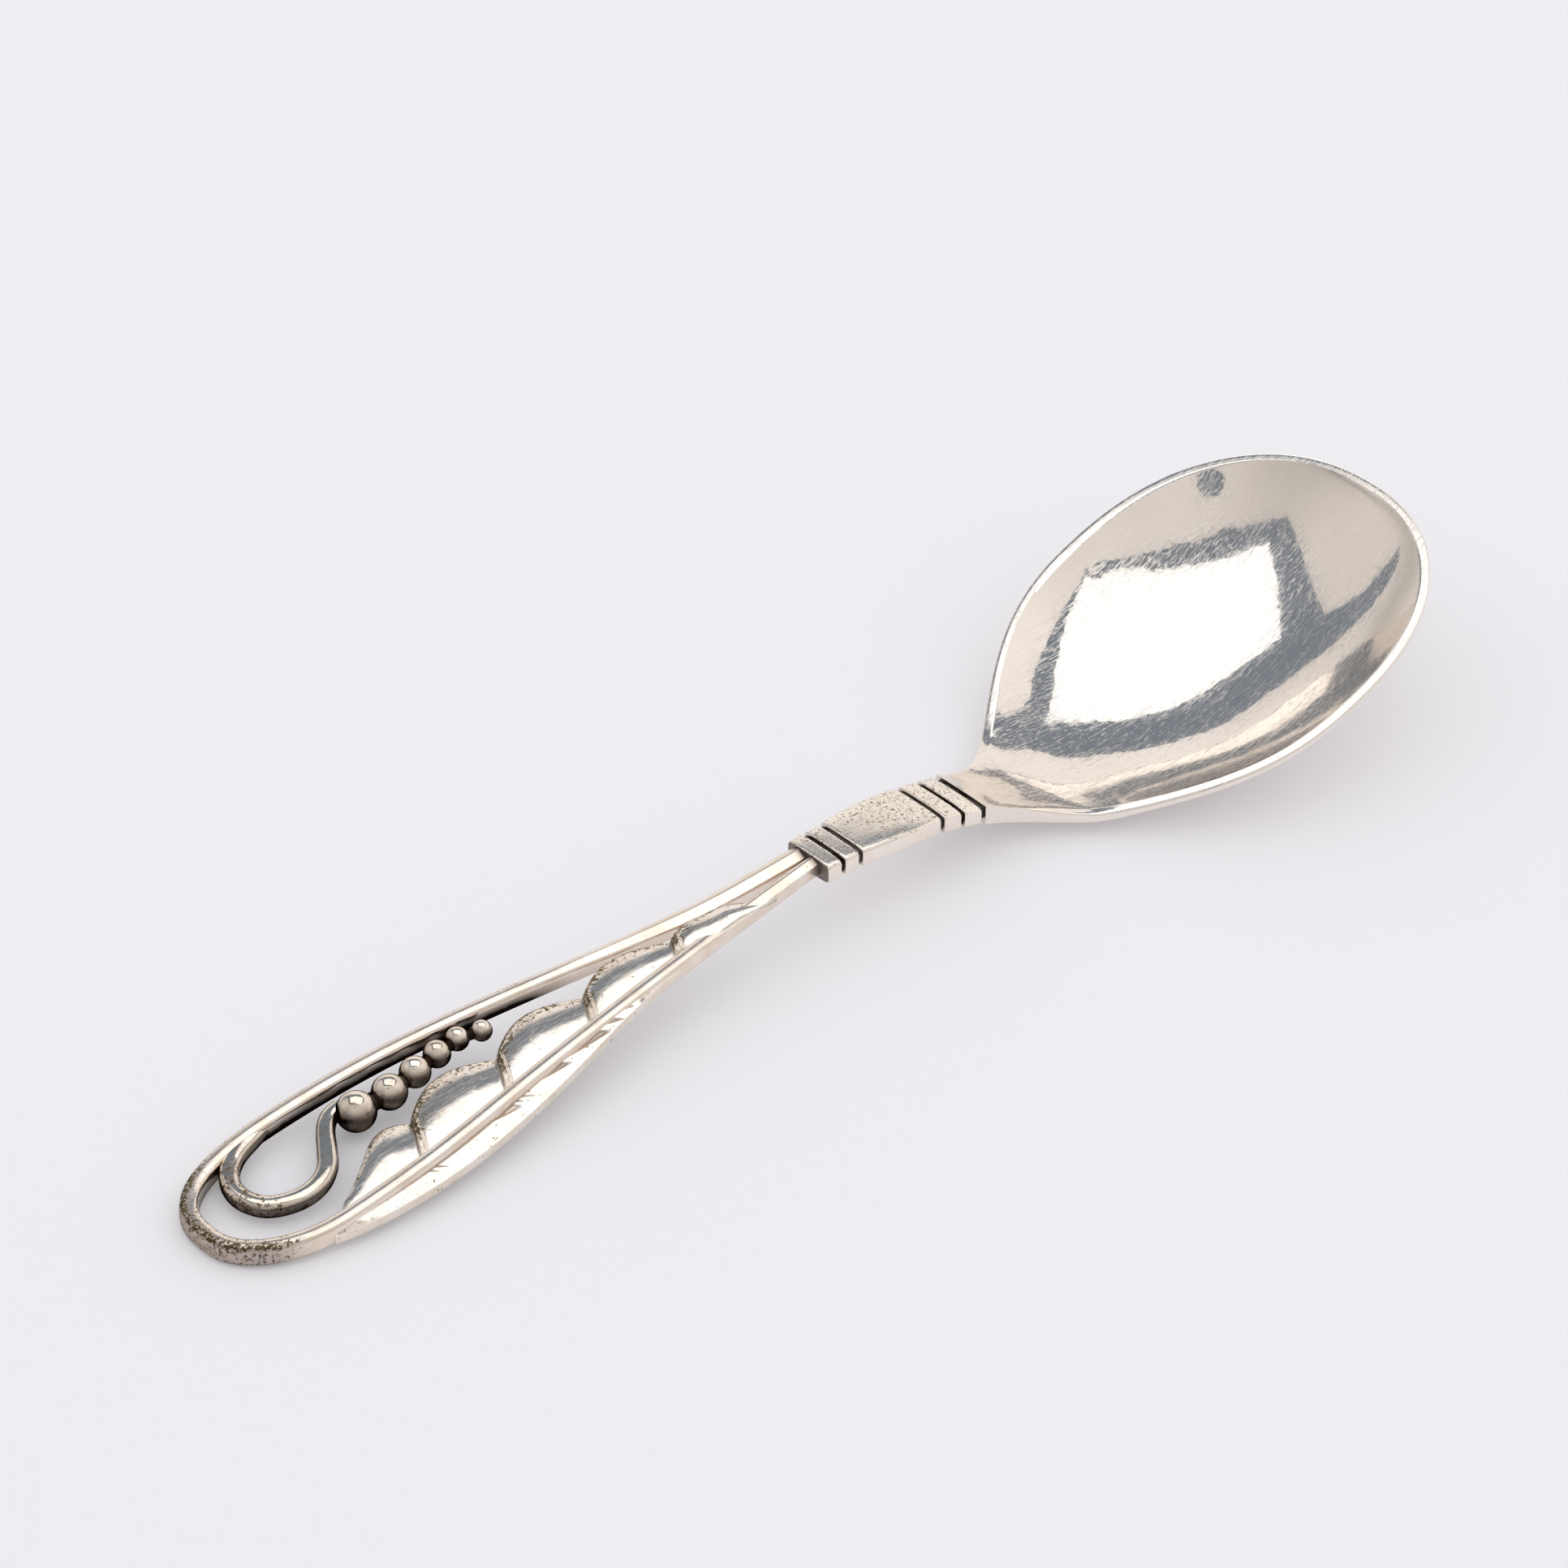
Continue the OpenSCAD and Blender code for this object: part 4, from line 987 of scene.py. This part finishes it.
def bowlShare(x):
    heel = (1 - (1 - np.clip((x - heelX) / bowl["heel"], 0, 1)) ** bowl["flare"]) ** bowl["fillet"]
    tip = (1 - np.clip((x - wideX) / bowl["tip"], 0, 1) ** bowl["tipRound"]) ** (1 / bowl["tipRound"])
    return np.where(x < wideX, heel, tip)


def bowlHalf(x):
    share = bowlShare(x)
    return np.where(x < wideX, mix(bowl["neck"], bowl["width"], share), bowl["width"] * share) / 2


def bowlDepth(x):
    return bowl["depth"] * bowlShare(x) ** bowl["depthFall"]


def heelTrough(x):
    rest = 1 - ramp(x - heelX, bowl["troughRun"])
    return bowl["trough"] * ease((x - heelX) / bowl["troughStart"]) * rest


def heelFade(x):
    return (1 - np.clip((x - heelX) / bowl["fade"], 0, 1)) ** bowl["fadeEase"]


def bowlWall(x):
    return mix(bowl["wall"], bowl["neckHeight"], heelFade(x))


def rimClimb(x):
    t = (x - dipX) / (tipX - dipX)
    soft = bowl["dipRound"]
    climb = (np.sqrt(t * t + soft * soft) - soft) / (math.sqrt(1 + soft * soft) - soft)
    return bowl["rise"] * climb + 4 * bowl["bow"] * t * (1 - t)


trial = np.linspace(dipX, wideX, 61)
rimLow = -bowl["restCut"] - float(np.min(rimClimb(trial) - bowlDepth(trial) - bowlWall(trial)))
neckTop = float(collarHeight(heelX)) + bowl["neckHeight"] / 2


def rimHeight(x):
    back = np.clip((dipX - x) / bowl["dip"], 0, 1) ** bowl["heelSlope"]
    return np.where(x < dipX, mix(rimLow, neckTop, back), rimLow + rimClimb(np.maximum(x, dipX)))


def evenRim(x):
    # the rim's line without its sharp dip, which the hollow doesn't follow
    beyond, half = 20, 40
    line = np.linspace(heelX - beyond, tipX + beyond, 400)
    heelRise = rimHeight(heelX) - rimHeight(heelX + 1)
    height = rimHeight(np.clip(line, heelX, tipX)) + heelRise * np.maximum(heelX - line, 0)
    step = line[1] - line[0]
    weights = np.exp(-(np.arange(-half, half + 1) * step / bowl["dipSmooth"]) ** 2)
    even = np.convolve(np.pad(height, half, mode="edge"), weights / weights.sum(), mode="valid")
    return np.interp(x, line, even)


def makeBowl():
    heelSteps = np.linspace(0, 1, bowl["heelSteps"]) ** bowl["heelCrowd"]
    tipTurn = np.linspace(0, np.pi / 2, bowl["tipSteps"] + 1)[1:]
    outX = np.concatenate([heelX + bowl["heel"] * heelSteps, wideX + bowl["tip"] * np.sin(tipTurn)])
    outY = bowlHalf(outX)
    outY[-1] = 0
    # the inner edge of the rim runs at an even distance inside the outline
    way = direction(np.stack([outX, outY], axis=1))
    way[-1] = (0, -1)
    rim = bowl["rim"] * mix(bowl["rimStart"], 1, ramp(outX - heelX, bowl["rimRun"]))
    inX = np.maximum.accumulate(outX + way[:, 1] * rim)
    inX[0] = heelX
    inY = np.maximum(outY - way[:, 0] * rim, 0)
    inY[-1] = 0

    v = np.linspace(-1, 1, bowl["across"])
    tipShare = inY / (bowl["width"] / 2 - bowl["rim"])
    hollow = np.where(inX < wideX, bowlShare(inX) ** bowl["heelFall"], tipShare ** bowl["tipFall"])
    rimIn, rimOut = rimHeight(inX), rimHeight(outX)
    even = mix(evenRim(inX), rimIn, ease((inX - wideX) / bowl["evenLength"] + 1))
    floorZ = mix(rimIn[:, None], even[:, None], 1 - v ** 2)
    floorZ = floorZ - bowl["depth"] * hollow[:, None] * (1 - np.abs(v) ** bowl["round"])
    floorZ = floorZ - heelTrough(inX)[:, None] * (1 - v ** 4)
    inside = gridPoints(inX[:, None], inY[:, None] * v, floorZ)

    # rim: a band whose outer half falls away, a rounded edge and the side
    edgeH = mix(bowl["rimEdge"], bowl["neckHeight"], heelFade(outX))
    r, roundShare = bowl["rimRound"], bowl["rimRound"] / bowl["rim"]
    band = np.linspace(0.05, 1 - roundShare, bowl["rimRows"])
    profile = [(share, mix(rimIn, rimOut, share)) for share in band]
    for a in np.radians(np.linspace(90, 0, 6))[1:]:
        profile.append((1 - roundShare * (1 - math.cos(a)), rimOut - r * (1 - math.sin(a))))
    profile.append((1, rimOut - mix(r, edgeH, bowl["sideShare"])))
    rows = []
    for share, z in profile:
        fall = bowl["rimFall"] * rim / bowl["rim"] * max(0, 2 * share - 1) ** 2
        rows.append(gridPoints(mix(inX, outX, share), mix(inY, outY, share), z - fall))
    left = np.stack(rows, axis=1)
    right = left[:, ::-1] * (1, -1, 1)

    lowest = bowlDepth(outX) + (bowlWall(outX) - edgeH) * np.minimum(1, outY / bowl["wallReach"])
    underZ = (rimOut - edgeH)[:, None] - lowest[:, None] * (1 - np.abs(v) ** bowl["round"])
    under = gridPoints(outX[:, None], outY[:, None] * v[::-1], np.maximum(underZ, 0))
    rings = np.concatenate([inside, left, under, right], axis=1)

    # tang: the heel's section shrunk and run back into the collar
    back = rings[0].copy()
    middle = float(collarHeight(heelX))
    back[:, 1] *= bowl["tangWidth"] / bowl["neck"]
    back[:, 2] = middle + (back[:, 2] - middle) * bowl["tangHeight"] / bowl["neckHeight"]
    end = back.copy()
    end[:, 0] = heelX - collar["groove"] - bowl["tang"]
    rings = np.concatenate([end[None], back[None], rings])

    tarnishAndShade, satin = np.zeros(rings.shape[:2]), np.zeros(rings.shape[:2])
    tarnishAndShade[:2] = bowl["tangDark"]
    satin[:, len(v):] = bowl["sideSatin"]
    dull = np.linspace(*bowl["rimSatin"], len(band))
    satin[:, len(v):len(v) + len(band)] = dull
    satin[:, -len(band):] = dull[::-1]
    piece = solidFromRings("bowl_raised", rings, tarnishAndShade, satin, 0, bowl["sharp"])
    dress(piece, bowlMaterial, "polished_silver", "bowl")


makeBowl()


# Studio: a white softbox in a dark hood over the spoon, a pale floor, a room that is dark behind the camera

studio = {
    "middle": (0.07, 0.0), "right": (0.748, -0.663), "back": (0.663, 0.748), "height": 1.0, "hoodGap": 0.004,
    "softLevel": 1.45, "hoodLevel": 0.3, "softColour": "#FFFFFF", "hoodColour": "#D6E6FA",
    "skyLevel": 1.1, "skySize": 4.4, "skyPlace": (0.4, 0.6), "skyHeight": 1.2,
}
floor = {
    "size": 8, "colour": "#D9D8DC", "roughness": 0.9, "shine": 0.1, "glow": 0.2,
    "glowTint": (1, 0.99, 1.02, 1),
}
# the room, by how far a ray goes to the back, to the right and up
room = {
    "colour": "#FFFBF8", "level": 0.98, "cameraLevel": 0.86, "frontLevel": 0.5, "frontShare": 0.78,
    "frontTop": 0.62, "backRange": (-0.5, 0.15), "leftLevel": 0.75, "leftRange": (-0.65, -0.1),
    "streakDark": 0.3, "streakRange": (-0.58, -0.35), "streakHeight": (0.2, 0.05),
    "streakSpread": (0.13, 0.045),
}
# corners in metres to the right and to the back of the bowl; the hood runs on into a dark beam
softboxCorners = [(0.41, -0.28), (0.54, 0.25), (0.52, 0.74), (-0.66, 0.66), (-0.55, -0.13)]
hoodCorners = [
    (0.42, -0.3), (0.56, -0.02), (0.72, 0.35), (0.7, 0.9), (0.3, 1.38), (-0.35, 1.38), (-1.35, 1.85),
    (-1.95, 2.12), (-2.6, 1.97), (-2.85, 1.67), (-1.5, 1.27), (-1.0, 0.9), (-0.8, 0.2), (-0.72, -0.26),
    (-0.3, -0.34),
]
cameraSpot = {"right": -0.2, "back": -0.66, "radius": 0.1}


def studioPoint(right, back, height):
    x, y = (studio["middle"][k] + right * studio["right"][k] + back * studio["back"][k] for k in (0, 1))
    return x, y, height


def glow(name, colour, level):
    material = bpy.data.materials.new(name)
    add = emptyTree(material)
    light = add("ShaderNodeEmission", {"Color": hexColour(colour), "Strength": level})
    add("ShaderNodeOutputMaterial", {"Surface": light})
    return material


def stagePanel(name, corners, height, material, seen=True):
    mesh = bpy.data.meshes.new(name)
    points = [studioPoint(right, back, height) for right, back in corners]
    mesh.from_pydata(points, [], [list(range(len(points)))])
    mesh.materials.append(material)
    panel = linkObject(name, mesh)
    panel.visible_camera = False
    panel.visible_glossy = seen  # panels are either seen in the silver or light the floor
    panel.visible_diffuse = not seen


def squareCorners(right, back, half):
    return [(right + i * half, back + j * half) for i, j in ((-1, -1), (1, -1), (1, 1), (-1, 1))]


def makeFloor():
    # a light table, so shadows stay pale
    table = bpy.data.materials.new("lightTableAcrylic")
    table.use_nodes = True
    sheet = table.node_tree.nodes["Principled BSDF"].inputs
    sheet["Base Color"].default_value = hexColour(floor["colour"])
    sheet["Roughness"].default_value = floor["roughness"]
    sheet["Specular IOR Level"].default_value = floor["shine"]
    sheet["Emission Color"].default_value = floor["glowTint"]
    sheet["Emission Strength"].default_value = floor["glow"]
    mesh = bpy.data.meshes.new("floor")
    mesh.from_pydata([(x, y, 0) for x, y in squareCorners(0, 0, floor["size"] / 2)], [], [[0, 1, 2, 3]])
    mesh.materials.append(table)
    linkObject("floor", mesh)


def makeRoom():
    world = bpy.data.worlds.new("studioRoom")
    bpy.context.scene.world = world
    add = emptyTree(world)
    way = add("ShaderNodeTexCoord").outputs["Generated"]
    back, right = (add("ShaderNodeVectorMath", {0: way, 1: studio[side] + (0,)}, operation="DOT_PRODUCT")
                   for side in ("back", "right"))
    up = add("ShaderNodeSeparateXYZ", {"Vector": way}).outputs["Z"]
    # the camera's side is dark below, and the other side is even
    front = add("ShaderNodeMapRange", {
        "Value": up, "From Max": room["frontTop"], "To Min": room["frontLevel"],
        "To Max": room["level"] * room["frontShare"]}, interpolation_type="SMOOTHSTEP")
    first, last = room["backRange"]
    behind = add("ShaderNodeMapRange", {
        "Value": back, "From Min": first, "From Max": last}, interpolation_type="SMOOTHSTEP")
    whole = add("ShaderNodeMix", {0: behind, 2: front, 3: room["level"]}, data_type="FLOAT")
    # a grey streak along the far horizon, higher and broader to the left
    first, last = room["streakRange"]
    middle, spread = (add("ShaderNodeMapRange", {
        "Value": right, "From Min": first, "From Max": last, "To Min": left, "To Max": rest})
        for left, rest in (room["streakHeight"], room["streakSpread"]))
    off = add("ShaderNodeMath", {0: up, 1: middle}, operation="SUBTRACT")
    away = add("ShaderNodeMath", {0: off}, operation="ABSOLUTE")
    ratio = add("ShaderNodeMath", {0: away, 1: spread}, operation="DIVIDE")
    streak = add("ShaderNodeMapRange", {
        "Value": ratio, "To Min": 1 - room["streakDark"], "To Max": 1}, interpolation_type="SMOOTHSTEP")
    first, last = room["leftRange"]
    dimmer = add("ShaderNodeMapRange", {
        "Value": right, "From Min": first, "From Max": last, "To Min": room["leftLevel"], "To Max": 1},
        interpolation_type="SMOOTHSTEP")
    sided = add("ShaderNodeMath", {0: whole, 1: dimmer}, operation="MULTIPLY")
    level = add("ShaderNodeMath", {0: sided, 1: streak}, operation="MULTIPLY")
    ray = add("ShaderNodeLightPath").outputs["Is Camera Ray"]
    shown = add("ShaderNodeMix", {0: ray, 2: level, 3: room["cameraLevel"]}, data_type="FLOAT")
    light = add("ShaderNodeBackground", {"Color": hexColour(room["colour"]), "Strength": shown})
    add("ShaderNodeOutputWorld", {"Surface": light})


def makeStudio():
    h = studio["height"]
    white = glow("softboxWhite", studio["softColour"], studio["softLevel"])
    stagePanel("softbox", softboxCorners, h, white)
    dark = glow("hoodDark", studio["hoodColour"], studio["hoodLevel"])
    stagePanel("hood", hoodCorners, h + studio["hoodGap"], dark)
    spot = arcPoints((cameraSpot["right"], cameraSpot["back"]), (cameraSpot["radius"],) * 2, 0, 330, 12)
    stagePanel("cameraSpot", spot, h, dark)
    sky = squareCorners(*studio["skyPlace"], studio["skySize"] / 2)
    pale = glow("skyWhite", studio["softColour"], studio["skyLevel"])
    stagePanel("sky", sky, h * studio["skyHeight"], pale, seen=False)
    makeFloor()
    makeRoom()


makeStudio()


# Camera: above the handle's near side, looking along the spoon to the bowl

view = {
    "place": (-0.3696, -0.4094, 0.4220), "forward": (0.5366, 0.6054, -0.5878), "lens": 121.1, "sensor": 36,
    "farthest": 20,
}


def makeCamera():
    data = bpy.data.cameras.new("photoCamera")
    data.sensor_fit = "HORIZONTAL"
    data.sensor_width = view["sensor"]
    data.lens = view["lens"]
    data.clip_end = view["farthest"]
    camera = linkObject("photoCamera", data)
    camera.location = view["place"]
    camera.rotation_euler = Vector(view["forward"]).to_track_quat("-Z", "Y").to_euler()
    bpy.context.scene.camera = camera


makeCamera()
bpy.context.scene.view_settings.view_transform = "Standard"
print("made the studio and the camera")
